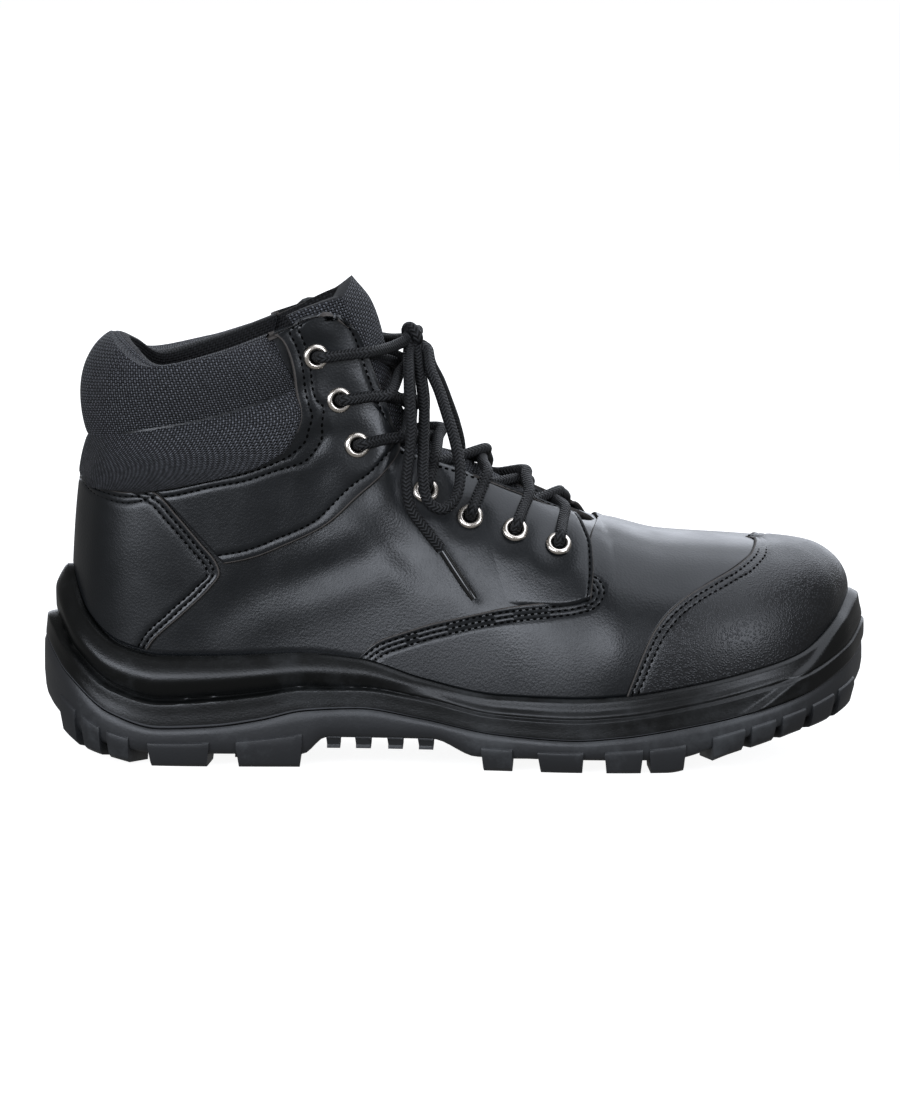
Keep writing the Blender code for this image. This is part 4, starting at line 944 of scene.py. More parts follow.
def shrunk_plastic(colour):
    """Heat-shrunk plastic tip: glossy black with small ripples."""
    made, add, shader, place = start("acetate_heat_shrunk")
    ripple = add("ShaderNodeTexNoise",
                 {"Vector": place.outputs["Object"], "Scale": grain_scale(2.38), "Detail": 2.0})
    bump = add("ShaderNodeBump", {"Height": ripple.outputs["Fac"], "Strength": 0.3, "Distance": 0.15 * MM})
    connect(shader, Base_Color=colour, Roughness=0.16, Normal=bump.outputs[0], Coat_Weight=0.5)
    return made


def matt_paper(colour):
    """Seamless studio paper: even, matt and pale."""
    made, add, shader, place = start("studio_paper_matt")
    # The tooth of paper is below 1 mm. It is drawn coarser, so that it shows.
    tooth = add("ShaderNodeTexNoise",
                {"Vector": place.outputs["Object"], "Scale": grain_scale(3.33), "Detail": 2.0})
    gloss = add("ShaderNodeMapRange", {"Value": tooth.outputs["Fac"], "To Min": 0.85, "To Max": 0.95})
    connect(shader, Base_Color=colour, Roughness=gloss.outputs[0], Emission_Color=tint("#ffffff"),
            Emission_Strength=0.92)
    return made


LOOKS = {}


def make_looks(colours, sizes):
    """Every material of the boot, kept by a short name."""
    LOOKS.update({
        # Cowhide with its grain buffed off and a film sprayed on: closed and even, it gives a broad soft
        # sheen with faint haze. Real pores are about 0.2 mm wide. They are drawn coarser, so that they show.
        "leather": sprayed_leather(tuple(colours.leather), "cowhide_corrected_grain_sprayed",
                                   pore=0.9, depth=0.045, rough=0.31),
        # Cowhide pressed with a pebble plate: domes with dark valleys give many small glints. Real pebbles
        # are 0.6 to 0.8 mm wide. They are drawn slightly coarser, so that they show.
        "grained": sprayed_leather(tuple(colours.grained), "cowhide_pebble_embossed",
                                   pore=0.85, depth=0.1, rough=0.36, pebbled=True),
        # Leather where the knife went through it: torn fibres give a paler, matt line along each panel.
        "edge": raw_edge(tuple(colours.cut_edge)),
        # Textured nylon in a plain weave: crowned threads over dark gaps give a dry, speckled grey. Real
        # threads are about 0.8 mm apart. They are drawn slightly coarser, so that they show.
        "nylon": woven_nylon(tuple(colours.nylon), "nylon_textured_plain_weave",
                             pitch=sizes.weave_pitch / MM, depth=0.8),
        # Thin polyester lining: a low weave that only breaks up the dark inside the shaft. Its threads
        # are about 0.5 mm apart. They are drawn coarser, so that they show.
        "lining": woven_nylon(tuple(colours.lining), "polyester_lining_weave", pitch=1.1, depth=0.2),
        # Foam with a skin formed by the mould: dense and smooth, it gives a low even sheen under some
        # dust. The mould's grain is about 0.2 mm wide. It is drawn coarser, so that it shows.
        "midsole": moulded_rubber(tuple(colours.midsole), "polyurethane_foam_moulded_skin",
                                  rough=0.31, dust=0.2, bead=0.7, shine=0.34),
        # The midsole's parting line where its flash was ground off: a thin, dull, greyer line.
        "flash": moulded_rubber(tint("#3a3b3d"), "polyurethane_parting_line_ground",
                                rough=0.75, dust=0.6, bead=0.9),
        # Rubber from a steel mould: hard wearing and less even than the foam, it gives a greyer, dustier
        # black. The mould's grain is about 0.3 mm wide. It is drawn coarser, so that it shows.
        "outsole": moulded_rubber(tuple(colours.outsole), "nitrile_rubber_moulded",
                                  rough=0.42, dust=0.5, bead=1.1, shine=0.5),
        # Nickel plate over stamped brass: a bright warm silver that mirrors its surroundings softly.
        "nickel": plated_nickel(tuple(colours.nickel)),
        # Polyester yarns plaited into a round cord: chevrons with dark gaps, a little shiny on the crowns.
        "lace": braided_cord(tuple(colours.lace), pitch=1.5),
        # Acetate film shrunk on by heat: glossy black, with ripples a few millimetres wide.
        "aglet": shrunk_plastic(tint("#0b0b0c")),
        # Bonded sewing thread: dull and blacker than the leather, it gives dark dashes. Its fibres are
        # below 0.05 mm. They are drawn coarser, so that they show.
        "thread": plain_fibre(tint("#030303"), "polyester_bonded_thread", rough=0.9, tuft=0.4, shine=0.05),
        # Needled and pressed fibres: a dull, even dark grey with a slight pile. The tufts are drawn
        # coarser than their real 0.3 mm, so that they show.
        "felt": plain_fibre(tint("#1d1e20"), "needled_felt_pressed", rough=0.95, tuft=0.833),
        # Seamless paper, uncoated: even and matt, it gives a ground with no edge.
        "floor": matt_paper(tuple(colours.floor)),
    })


# Upper and its leather panels

# Lift of the leather shell off the last
BASE = 0.6
# Creases worn into the leather: their middle, slope in radians, length, width and depth
Crease = namedtuple("Crease", "x z slant length width depth")
CREASES = {
    OUTER: (
        Crease(-46.0, 74.0, 0.35, 26.0, 6.0, 0.60),
        Crease(-22.0, 84.0, -0.9, 20.0, 5.0, 0.40),
        Crease(2.0, 72.0, -0.5, 18.0, 6.0, 0.30),
        Crease(-84.0, 60.0, 0.8, 22.0, 7.0, 0.35),
        Crease(-52.0, 145.0, 0.3, 11.0, 4.0, 0.45),
        Crease(-46.0, 126.0, 0.5, 13.0, 4.5, 0.50),
        Crease(-34.0, 105.0, 0.7, 16.0, 5.0, 0.45),
    ),
    INNER: (
        Crease(-40.0, 78.0, 0.5, 24.0, 6.0, 0.40),
        Crease(-16.0, 86.0, -0.8, 20.0, 5.0, 0.30),
        Crease(8.0, 70.0, -0.4, 18.0, 6.0, 0.30),
        Crease(-80.0, 64.0, 0.7, 22.0, 7.0, 0.35),
    ),
}

RIDGE_AT = 1.7
RIDGE_SHARE = 0.55
# Pull of the lace round an eyelet: a dip and the soft ring about it
PUCKER = 0.5
PUCKER_WIDTH = 6.0
PUCKER_RING = 10.0
PUCKER_RING_WIDTH = 3.5
PUCKER_RING_SHARE = 0.4
# The vamp sinks between its throat and the toe, most along its ridge
VAMP_SINK = 2.2
SINK_RIBS = (THROAT + 0.15, THROAT + 0.9)
SINK_SHARES = (0.5, 0.95)


def creased(side, points):
    """Depth of the worn-in troughs with their soft ridges, and of the lace's pull at each eyelet."""
    depth = np.zeros(points.shape[:-1])
    for crease in CREASES[side]:
        across_x, across_z = points[..., 0] - crease.x, points[..., 2] - crease.z
        run = across_x * math.cos(crease.slant) + across_z * math.sin(crease.slant)
        aside = -across_x * math.sin(crease.slant) + across_z * math.cos(crease.slant)
        fade = np.exp(-(run / crease.length) ** 2)
        trough = np.exp(-(aside / crease.width) ** 2)
        ridge = np.exp(-((np.abs(aside) - RIDGE_AT * crease.width) / crease.width) ** 2)
        depth += crease.depth * fade * (RIDGE_SHARE * ridge - trough)
    for hole in EYELETS:
        away = np.hypot(points[..., 0] - hole.x, points[..., 2] - hole.z)
        ring = np.exp(-((away - PUCKER_RING) / PUCKER_RING_WIDTH) ** 2)
        depth += PUCKER * (PUCKER_RING_SHARE * ring - np.exp(-(away / PUCKER_WIDTH) ** 2))
    return depth


def over(side, s, t, lift):
    """Points so far outside the last, with the creases of the leather and its sunken toe."""
    points = surface(side, s, t)
    lift = lift - VAMP_SINK * step_up(*SINK_RIBS, s) * step_up(*SINK_SHARES, t)
    return points + normal(side, s, t) * (lift + creased(side, points))[..., None]


EDGE_REACH = 0.6
EDGE_SQUARE = 0.62
EDGE_LINES = (0.0, 0.25, EDGE_REACH)
RIM_STRIPS = 2
SEAM_EASE = 12
SEAM_DEPTH = 0.42
SEAM_WIDTH = 0.5
ROWS_CLEAR = 1.6
SEWN_TOWARDS = (0.5, 0.0, -0.85)


def stitch_lines(rows):
    """Distances from an edge at which a panel's grid follows it: its rounding and its stitch rows."""
    lines = set(EDGE_LINES)
    for row in rows:
        lines.update((row - SEAM_WIDTH, row, row + SEAM_WIDTH))
    lines.add(max(rows, default=1.0) + ROWS_CLEAR)
    return np.array(sorted(lines))


def edge_round(distance):
    """Share of a panel's thickness at a distance from its cut edge."""
    f = np.clip(distance / EDGE_REACH, 0.0, 1.0)
    return EDGE_SQUARE + (1.0 - EDGE_SQUARE) * np.sqrt(1.0 - (1.0 - f) ** 2)


def seam_dip(distance, rows):
    """Depth of the channels that the stitch rows pull into the leather."""
    return sum((SEAM_DEPTH * np.exp(-((distance - row) / SEAM_WIDTH) ** 2) for row in rows), 0.0 * distance)


def nearest(points, line):
    """Distances of a block of points from a line of points."""
    return np.sqrt(np.min([((points - spot) ** 2).sum(axis=-1) for spot in line], axis=0))


Seam = namedtuple("Seam", "line facing")
FAR_AWAY = 99.0
# Ends of an inset line, as shares of it, where it slides along the lip or the top line
SLIDE_START = (0.03, 0.0)
SLIDE_END = (0.95, 1.0)
# Grid of a panel: where it starts to follow the top line, its least width, slant and room for rows
CROWN_FROM = 0.72
END_ROOM = 0.4
PROBES = 9
LEAST_WIDTH = 0.4
LEAST_SLANT = 0.3
ROWS_SHARE = 0.8
NOT_ZERO = 1e-6
# The vamp's rows draw together towards the end of their sewing
GATHER = 0.6
GATHER_FROM = 0.78
# A panel with a ramp starts below the leather and rises out of it across and along itself
RAMP_SINK = 0.3
RAMP_ACROSS = (0.0, 0.7)
RAMP_ALONG = (0.06, 0.13)
RAMP_SEWN_FROM = 0.1


def inset_lines(side, edge, inward, distances, v):
    """Lines of rib and height share at distances inside an edge, each square to the one before."""
    lines, done = [edge], 0.0 * v
    ds, dt = 0.02, 0.01
    slide = np.maximum(step_up(*SLIDE_END, v), step_up(*SLIDE_START, v))[..., None]
    for distance in distances[1:]:
        s, t = lines[-1]
        low, high = np.maximum(t - dt, 0.0), np.where(s >= THROAT, t + dt, np.minimum(t + dt, 1.0))
        along = (surface(side, s + ds, t) - surface(side, s - ds, t)) / (2.0 * ds)
        up = (surface(side, s, high) - surface(side, s, low)) / (high - low)[..., None]
        way = unit(np.cross(normal(side, s, t), np.gradient(surface(side, s, t), axis=0)))
        way = way * np.sign((way * inward).sum())
        level_way = unit(along) * np.sign((along * inward).sum(axis=-1, keepdims=True))
        step = unit(lerp(way, level_way, slide)) * (distance - done)[..., None]
        aa, ab, bb = (along * along).sum(-1), (along * up).sum(-1), (up * up).sum(-1)
        p, q = (along * step).sum(-1), (up * step).sum(-1)
        share = aa * bb - ab * ab
        move_t = (aa * q - ab * p) / share
        lines.append((np.clip(s + (bb * p - ab * q) / share, 0.0, TOE),
                      np.where((t <= 0.0) | (t >= 1.0), t, np.clip(t + move_t, 0.0, 1.0))))
        done = distance
    return np.array(lines)


def panel_sheet(side, first, second, steps, count, thickness, near=None, far=None, end=None,
                by_height=True, ramp=False, crown=False, sewing=None):
    """A panel between two edges, as points, seams and the faces of its cut edges.

    The edges are functions from 0..1 to rib and height, or to rib and height share. Stitch rows are
    given as distances for each cut edge: near the first, the far one and the end of both. Rows near the
    first edge keep their distance from the line of sewing where one is given, a ramp lets the panel rise
    out of the leather, and a crown follows the top line.
    """
    v = np.linspace(0.0, 1.0, count + 1)

    def spots(curve, v):
        s, other = curve(v)
        if crown:
            other = other + (read(side, "rise", s) - other) * step_up(CROWN_FROM, 1.0, v)
        return np.stack([s, share_at(side, s, other) if by_height else np.clip(other, 0.0, 1.0)])

    end_lines = stitch_lines(end) if end is not None else np.array([0.0])
    run = 1.0
    if end is not None:
        run = line_length(surface(side, *lerp(spots(first, v), spots(second, v), 0.5)))
        before = v[v < 1.0 - (end_lines[-1] + END_ROOM) / run]
        v = np.concatenate([before, 1.0 - end_lines[::-1] / run])
    edges = spots(first, v), spots(second, v)
    coarse = np.stack([surface(side, *lerp(*edges, u)) for u in np.linspace(0.0, 1.0, PROBES)])
    width = np.maximum(np.linalg.norm(np.diff(coarse, axis=0), axis=-1).sum(axis=0), LEAST_WIDTH)
    near_lines = stitch_lines(near) if near is not None else np.array([0.0])
    far_lines = stitch_lines(far) if far is not None else np.array([0.0])
    room = np.minimum(1.0, ROWS_SHARE * width / (near_lines[-1] + far_lines[-1] + NOT_ZERO))
    across = coarse[-1] - coarse[0]
    from_near, from_far = near_lines[:, None] * room, far_lines[:, None] * room
    slants = []
    for here, inward in ((coarse[0], coarse[1] - coarse[0]), (coarse[-1], coarse[-2] - coarse[-1])):
        slant = np.linalg.norm(np.cross(unit(np.gradient(here, axis=0)), unit(inward)), axis=-1)
        slants.append(np.maximum(slant, LEAST_SLANT) * width)
    if sewing is not None:
        from_near = from_near * (1.0 - GATHER * step_up(GATHER_FROM, 1.0, v))
        near_set = inset_lines(side, edges[0], across, from_near, v)
    else:
        near_set = [lerp(*edges, away / slants[0]) for away in from_near]
    far_set = np.array([lerp(*edges[::-1], away / slants[1]) for away in from_far])
    middle = [lerp(near_set[-1], far_set[-1], f) for f in np.linspace(0.0, 1.0, steps + 1)[1:-1]]
    places = np.array([*near_set, *middle, *far_set[::-1]])
    clear = np.full((len(middle), len(v)), FAR_AWAY)
    near_away = np.vstack([from_near, clear, np.full_like(from_far, FAR_AWAY)])
    far_away = np.vstack([np.full_like(from_near, FAR_AWAY), clear, from_far[::-1]])
    end_away = np.broadcast_to((1.0 - v) * run, near_away.shape)
    s, t = places[:, 0], places[:, 1]
    full, dip = np.full(near_away.shape, thickness), np.zeros(near_away.shape)
    for rows, away in ((near, near_away), (far, far_away), (end, end_away)):
        if rows is not None:
            full = full * edge_round(away)
            if rows is near and sewing is not None:
                away = nearest(surface(side, s, t), surface(side, *sewing))
            dip = dip + seam_dip(away, rows)
    lift = BASE + full - dip
    if ramp:
        u = np.linspace(0.0, 1.0, len(places))[:, None]
        lift = lift - (full + RAMP_SINK) * (1.0 - step_up(*RAMP_ACROSS, u) * step_up(*RAMP_ALONG, v))
    points, facing = over(side, s, t, lift), normal(side, s, t)
    seams = []

    def sew(columns, rows):
        line = points[columns, rows].copy()
        for _ in range(SEAM_EASE):
            line[1:-1] = 0.25 * line[:-2] + 0.5 * line[1:-1] + 0.25 * line[2:]
        seams.append(Seam(line, facing[columns, rows]))

    if sewing is not None:
        path = np.linspace(0.0, 1.0, sewing.shape[1])
        row_away = np.outer((0.0, *near), np.ones_like(path))
        for s, t in inset_lines(side, sewing, np.array(SEWN_TOWARDS), row_away, path)[1:]:
            row_lift = np.full_like(s, BASE + thickness - SEAM_DEPTH)
            seams.append(Seam(over(side, s, t, row_lift), normal(side, s, t)))
    else:
        for row in near or ():
            sew(int(np.argmin(np.abs(near_lines - row))), slice(None))
    sewn = slice(int((v < RAMP_SEWN_FROM).sum()) if ramp else 0, None)
    for row in far or ():
        sew(len(points) - 1 - int(np.argmin(np.abs(far_lines - row))), sewn)
    for row in end or ():
        inner = slice(max(len(near_lines) - 2, 0), len(points) - len(far_lines) + 2)
        sew(inner, len(v) - 1 - int(np.argmin(np.abs(end_lines - row))))
    rim = np.zeros((len(points) - 1, len(v) - 1), int)
    rim[:RIM_STRIPS if near is not None else 0] = 1
    rim[len(rim) - (RIM_STRIPS if far is not None else 0):] = 1
    rim[:, len(v) - 1 - (RIM_STRIPS if end is not None else 0):] = 1
    return points, seams, rim


RIDGE_LEAD = 0.06
CAP_LAP = 0.02


def share_edge(side, marks, places=None):
    """Edge through marks as a function from 0..1 to rib and height share, ending on the ridge."""
    found = [locate(side, mark.x, mark.z) for mark in marks]
    ribs = [s for s, _ in found]
    shares = np.maximum.accumulate([t for _, t in found])
    shares[0], shares[-1] = 0.0, 1.0
    ribs[-1] = max(locate(OUTER, *marks[-1])[0], THROAT + RIDGE_LEAD)
    places = run_places(marks) if places is None else places
    return lambda v: (smooth(places, ribs, v), smooth(places, shares, v))


def lip_then_cap(cap_edge, start_rib, turn):
    """Front boundary of the vamp: along the lip from the waist, then up the cap's rear edge."""
    corner = float(cap_edge(np.array([0.0]))[0][0])

    def edge(v):
        low = np.clip(v / turn, 0.0, 1.0)
        high = np.clip((v - turn) / (1.0 - turn), 0.0, 1.0)
        s_high, t_high = cap_edge(high)
        s = np.where(v < turn, start_rib + (corner - start_rib) * low, s_high)
        return s + CAP_LAP, np.where(v < turn, 0.0, t_high)
    return edge


# Stitch rows, as distances from their edge
VAMP_ROWS = (1.7, 3.6, 5.5)
CAP_ROWS = (1.8, 3.9)
COUNTER_ROWS = (1.9, 4.0)
COLLAR_ROWS = (2.8, 5.2)
EYESTAY_ROWS = (3.6,)
CROWN_ROWS = (4.0,)
FACING_END = (2.6,)
FACING_ROWS = (2.4,)
THROAT_SEAM = (7.9, 10.6)
THROAT_SEAM_INSET = 2.6
# Thickness of the panels over the shell
CAP_THICKNESS = 2.1
VAMP_THICKNESS = 1.4
COUNTER_THICKNESS = 1.5
EYESTAY_LIFT = 2.0
FACING_LIFT = 2.7
PANEL_WALL = 1.5
# Share of the vamp's front edge that runs along the lip, and the end of its sewing
VAMP_TURN = 0.42
SEWING_END = 0.97
SEWING_STEPS = 291
COUNTER_TUCK = 1.0
SHELL_RIBS = 177
SHELL_HEIGHTS = 53
AT_RIDGE = 0.999
STITCHES = []


def build_panel(name, sheets, look):
    """Leather overlay from one sheet a side, closed by a wall and with a raw cut edge."""
    bm = bmesh.new()
    for side, (points, seams, rim) in sheets:
        add_sheet(bm, points, flip=side == INNER, slot=rim)
        STITCHES.extend(seams)
    return thicken(finish_piece(name, bm, (LOOKS[look], LOOKS["edge"])), PANEL_WALL, rim=1)


def build_upper_shell():
    """Hollow upper with its lining, welded at the heel back, the toe and the ridge of the vamp."""
    heights = np.linspace(0.0, 1.0, SHELL_HEIGHTS)
    ribs = np.linspace(0.0, TOE, SHELL_RIBS)
    bm = bmesh.new()
    for side in (OUTER, INNER):
        s, t = np.meshgrid(ribs, heights, indexing="ij")
        points = over(side, s, t, np.full(s.shape, BASE))
        ridge = (s >= THROAT) & (t > AT_RIDGE)
        seam = (s == 0.0) | (s == TOE)
        shared = 0.5 * (points + over(-side, s, t, np.full(s.shape, BASE)))
        points = np.where((ridge | seam)[..., None], shared, points)
        low = margin(side, ribs)[:, None]
        low = np.where(((ribs == 0.0) | (ribs == TOE))[:, None, None],
                       0.5 * (low + margin(-side, ribs)[:, None]), low)
        add_sheet(bm, np.concatenate([low, points], axis=1), flip=side == INNER)
        sewn = ribs[(ribs > THROAT_SEAM[0]) & (ribs < THROAT_SEAM[1])]
        inset = 1.0 - THROAT_SEAM_INSET / np.linalg.norm(top(side, sewn) - foot(side, sewn), axis=-1)
        STITCHES.append(Seam(over(side, sewn, inset, np.full(inset.shape, BASE)), normal(side, sewn, inset)))
    upper = finish_piece("upper_shell", bm, (LOOKS["leather"], LOOKS["lining"], LOOKS["edge"]))
    return thicken(upper, WALL + BASE, inside=1, rim=2)


def build_panels():
    """Toe cap, vamp, counter, eyestays and facings over the upper."""
    caps, vamps, counters, facings = [], [], [], []
    made = []
    for side, label in SIDES_OF_FOOT:
        cap_edge = share_edge(side, CAP_REAR)
        cap = panel_sheet(side, cap_edge, lambda v: (np.full_like(v, TOE), cap_edge(v)[1]), steps=40,
                          count=110, thickness=CAP_THICKNESS, near=CAP_ROWS, by_height=False)
        vamp_edge = share_edge(side, VAMP_REAR, VAMP_PLACES)
        sewing = edge_curve(side, VAMP_SEWING, SEWING_PLACES)(np.linspace(0.0, SEWING_END, SEWING_STEPS))
        sewing = np.stack([sewing[0], share_at(side, *sewing)])
        front = lip_then_cap(cap_edge, float(vamp_edge(np.array([0.0]))[0][0]), VAMP_TURN)
        vamp = panel_sheet(side, vamp_edge, front, steps=34, count=240, thickness=VAMP_THICKNESS,
                           near=VAMP_ROWS, by_height=False, sewing=sewing)
        lip = float(read(side, "lip", 0.0)) - COUNTER_TUCK
        counter = panel_sheet(side, lambda v: (np.zeros_like(v), lip + (COUNTER_TOP - lip) * v),
                              edge_curve(side, COUNTER_FRONT), steps=24, count=90,
                              thickness=COUNTER_THICKNESS, far=COUNTER_ROWS, end=COUNTER_ROWS)
        stay = panel_sheet(side, edge_curve(side, EYESTAY_REAR), edge_curve(side, EYESTAY_FRONT), steps=22,
                           count=150, thickness=EYESTAY_LIFT, near=COLLAR_ROWS, far=EYESTAY_ROWS,
                           end=CROWN_ROWS, crown=True)
        facing = panel_sheet(side, edge_curve(side, FACING_REAR), edge_curve(side, FACING_FRONT), steps=20,
                             count=70, thickness=FACING_LIFT, far=FACING_ROWS, end=FACING_END, ramp=True,
                             crown=True)
        made.append(build_panel(f"eyestay_leather_{label}", [(side, stay)], "leather"))
        for sheets, sheet in ((caps, cap), (vamps, vamp), (counters, counter), (facings, facing)):
            sheets.append((side, sheet))
    made.append(build_panel("toe_cap_leather", caps, "grained"))
    made.append(build_panel("vamp_leather", vamps, "leather"))
    made.append(build_panel("counter_leather", counters, "leather"))
    made.append(build_panel("facings_leather", facings, "leather"))
    return made


# Padded collar and tongue

# Fullness of the collar's two rolls, from the heel back to its front edge
Roll = namedtuple("Roll", "share lower upper")
ROLLS = (
    Roll(0.0, 1.2, 7.6), Roll(0.12, 2.2, 7.6), Roll(0.4, 6.0, 9.0), Roll(0.8, 6.2, 7.8), Roll(1.0, 5.2, 5.6),
)
LOWER_START = 0.15
UPPER_END = 0.985
# The groove between both rolls climbs towards the front, and is lifted near the heel
GROOVE_AT = 0.32
GROOVE_CLIMB = 0.18
GROOVE_POWER = 2.6
GROOVE_FADE = 0.35
TUCK_REACH = (1.0, 5.0)
BOTTOM_EASE = 40.0
LOWER_POWER = 0.55
UPPER_POWER = 0.6
UPPER_SKEW = 1.3
GROOVE_LIFT = 1.2
UNDER_LEATHER = 0.5
COLLAR_INSIDE = 0.3
COLLAR_LINING = 2.6
LINING_CLEAR = 0.1
RIM_RISE = 1.0
COLLAR_WELD = 0.05
HEEL_SEAM = 0.6
HEEL_SEAM_X = -90.0
# Grid of the collar, finer towards its front edge and round the groove, then over the rim and down inside
COLLAR_SHARES = 1.0 - (1.0 - np.linspace(0.0, 1.0, 91)) ** 1.3
COLLAR_HEIGHTS = np.concatenate([np.linspace(0.0, 0.3, 20), np.linspace(0.32, 0.54, 26),
                                 np.linspace(0.56, 1.0, 34)])
RIM_TURNS = np.linspace(0.12, 1.0, 7) * math.pi
LINING_DEPTHS = np.linspace(0.08, 1.0, 14)


def collar_lift(share, height, edge):
    """How far the padded collar stands off the last: two rolls, their groove and its tucked edge."""
    places = [roll.share for roll in ROLLS]
    lower, upper = (smooth(places, [getattr(roll, name) for roll in ROLLS], share)
                    for name in ("lower", "upper"))
    groove = GROOVE_AT + GROOVE_CLIMB * share ** GROOVE_POWER
    below = np.clip(height / groove, 0.0, 1.0)
    above = np.clip((height - groove) / (1.0 - groove), 0.0, 1.0)
    sunk = GROOVE_LIFT * (1.0 - step_up(0.0, GROOVE_FADE, share))
    low = sunk + lower * np.sin(math.pi * (LOWER_START + (1.0 - LOWER_START) * below)) ** LOWER_POWER
    high = sunk + upper * np.sin(math.pi * UPPER_END * above ** UPPER_SKEW) ** UPPER_POWER
    full = np.where(height < groove, low, high)
    tuck = step_up(*TUCK_REACH, edge)
    return UNDER_LEATHER + (full - UNDER_LEATHER) * tuck


def build_collar():
    """Padded collar: two rolls outside, over the rim and down inside the shaft."""
    shares = COLLAR_SHARES
    bm = bmesh.new()
    for side in (OUTER, INNER):
        front = edge_curve(side, COLLAR_EDGE, COLLAR_PLACES)
        rim_z = float(read(side, "rise", 0.0))
        outside = []
        for height in COLLAR_HEIGHTS:
            f_s, f_z = (float(value) for value in front(height))
            s = f_s * shares
            z = COLLAR_BOTTOM + (rim_z - COLLAR_BOTTOM) * height
            z = z + (f_z - z) * shares
            t = share_at(side, s, z)
            points = surface(side, s, t)
            reach = np.linalg.norm(np.diff(points, axis=0), axis=-1)
            to_front = np.concatenate([np.cumsum(reach[::-1])[::-1], [0.0]])
            edge = np.minimum(to_front, height * (rim_z - COLLAR_BOTTOM) + BOTTOM_EASE * shares ** 2)
            outside.append(points + normal(side, s, t) * collar_lift(shares, height, edge)[..., None])
        rim_s = float(front(1.0)[0]) * shares
        ones = np.ones_like(rim_s)
        rim, out = surface(side, rim_s, ones), normal(side, rim_s, ones)
        reach = 0.5 * (WALL + COLLAR_LINING + GROOVE_LIFT)
        crest = rim + out * (GROOVE_LIFT - reach)
        inside = []
        for angle in RIM_TURNS:
            rise = np.array([0.0, 0.0, RIM_RISE * math.sin(angle)])
            half = outside if angle < math.pi / 2.0 else inside
            half.append(crest + out * reach * math.cos(angle) + rise)
        for depth in LINING_DEPTHS:
            t = np.full_like(rim_s, 1.0 - depth * COLLAR_INSIDE)
            pad = WALL + COLLAR_LINING * math.cos(depth * math.pi / 2.0) ** 0.5 + LINING_CLEAR
            inside.append(surface(side, rim_s, t) - normal(side, rim_s, t) * pad)
        t = np.full_like(rim_s, 1.0 - COLLAR_INSIDE)
        inside.append(surface(side, rim_s, t) - normal(side, rim_s, t))
        inside.append(outside[0])
        for slot, rows in ((0, outside), (1, [outside[-1], *inside])):
            add_sheet(bm, np.stack(rows, axis=1), flip=side == INNER, slot=slot)
    for vert in bm.verts:
        if abs(vert.co.y) < HEEL_SEAM * MM and vert.co.x < HEEL_SEAM_X * MM:
            vert.co.y = 0.0
    bmesh.ops.remove_doubles(bm, verts=bm.verts, dist=COLLAR_WELD * MM)
    bmesh.ops.holes_fill(bm, edges=[edge for edge in bm.edges if edge.is_boundary], sides=0)
    return finish_piece("collar_padded", bm, (LOOKS["nylon"], LOOKS["lining"]), weld=COLLAR_WELD, recalc=True)


def tongue_face(across, along):
    """Front face of the tongue, as a block of points."""
    knots = []
    for row in TONGUE:
        halves = []
        for side in (OUTER, INNER):
            s, t = locate(side, row.margin_x, row.margin_z)
            ribs, shares = np.array([s, row.edge_s]), np.array([t, row.edge_t])
            marks = surface(side, ribs, shares) - normal(side, ribs, shares) * TONGUE_CLEAR
            marks[:, 2] += row.lift
            halves.append([marks[0], marks[1], marks[1] + unit(marks[1] - marks[0]) * TONGUE_LEAD])
        middle = np.array([row.centre_x, 0.5 * (halves[0][1][1] + halves[1][1][1]), row.centre_z])
        knots.append([*halves[0], middle, *halves[1][::-1]])
    knots = np.array(knots)
    k, r = np.linspace(0.0, 1.0, across + 1), np.linspace(0.0, len(TONGUE) - 1.0, along + 1)
    rows = np.stack([[smooth(TONGUE_KNOTS, knots[i, :, axis], k) for axis in range(3)]
                     for i in range(len(TONGUE))])
    block = np.stack([[smooth(np.arange(len(TONGUE)), rows[:, axis, j], r) for axis in range(3)]
                      for j in range(across + 1)])
    return np.moveaxis(block, 1, 2), k, r


TONGUE_GRID = (56, 110)
# How far the corners of the tongue's top are drawn in, where that starts, and the outer one's share
TONGUE_CORNER = (-3.0, 0.0, 7.0)
CORNER_POWER = 5
CORNER_FROM = 0.8
OUTER_CORNER = 0.3
PADDING_AT_EDGE = 0.3


def build_tongue():
    """Padded tongue under the throat, thickest in its middle and near its top."""
    points, k, r = tongue_face(*TONGUE_GRID)
    corner = np.abs(2.0 * k - 1.0)[:, None] ** CORNER_POWER * step_up(CORNER_FROM, 1.0, r / r[-1])[None]
    corner = corner * np.where(k < 0.5, OUTER_CORNER, 1.0)[:, None]
    points = points - corner[..., None] * np.array(TONGUE_CORNER)
    padding = smooth(np.arange(len(TONGUE)), [row.padding for row in TONGUE], r)
    across = PADDING_AT_EDGE + (1.0 - PADDING_AT_EDGE) * np.sin(math.pi * k)
    weights = across[:, None] * padding[None]
    bm = bmesh.new()
    add_sheet(bm, points, weights=weights)
    tongue = finish_piece("tongue_padded", bm, (LOOKS["nylon"], LOOKS["lining"], LOOKS["felt"]))
    return thicken(tongue, TONGUE_PAD, inside=1, rim=2, group="padding")


# Sole

TREAD_INSET = 2.0
MID_LINE = 0.6
# Side wall of the outsole: shares of its height, and how far each line stands out from the edge
OUTSOLE_WALL = ((0.08, -1.1), (0.2, -0.5), (0.45, 0.0), (0.75, 0.0), (0.93, -0.1))
# Lugs: where the waist lies, and how far those there and elsewhere climb the wall and stand proud of it
WAIST = (-50.0, 0.0)
WAIST_CLIMB, SIDE_CLIMB = 0.08, 0.52
WAIST_PROUD, SIDE_PROUD = -1.4, 0.7
LUG_BEVEL = 0.55
LUG_SHARP_ANGLE = 35.0


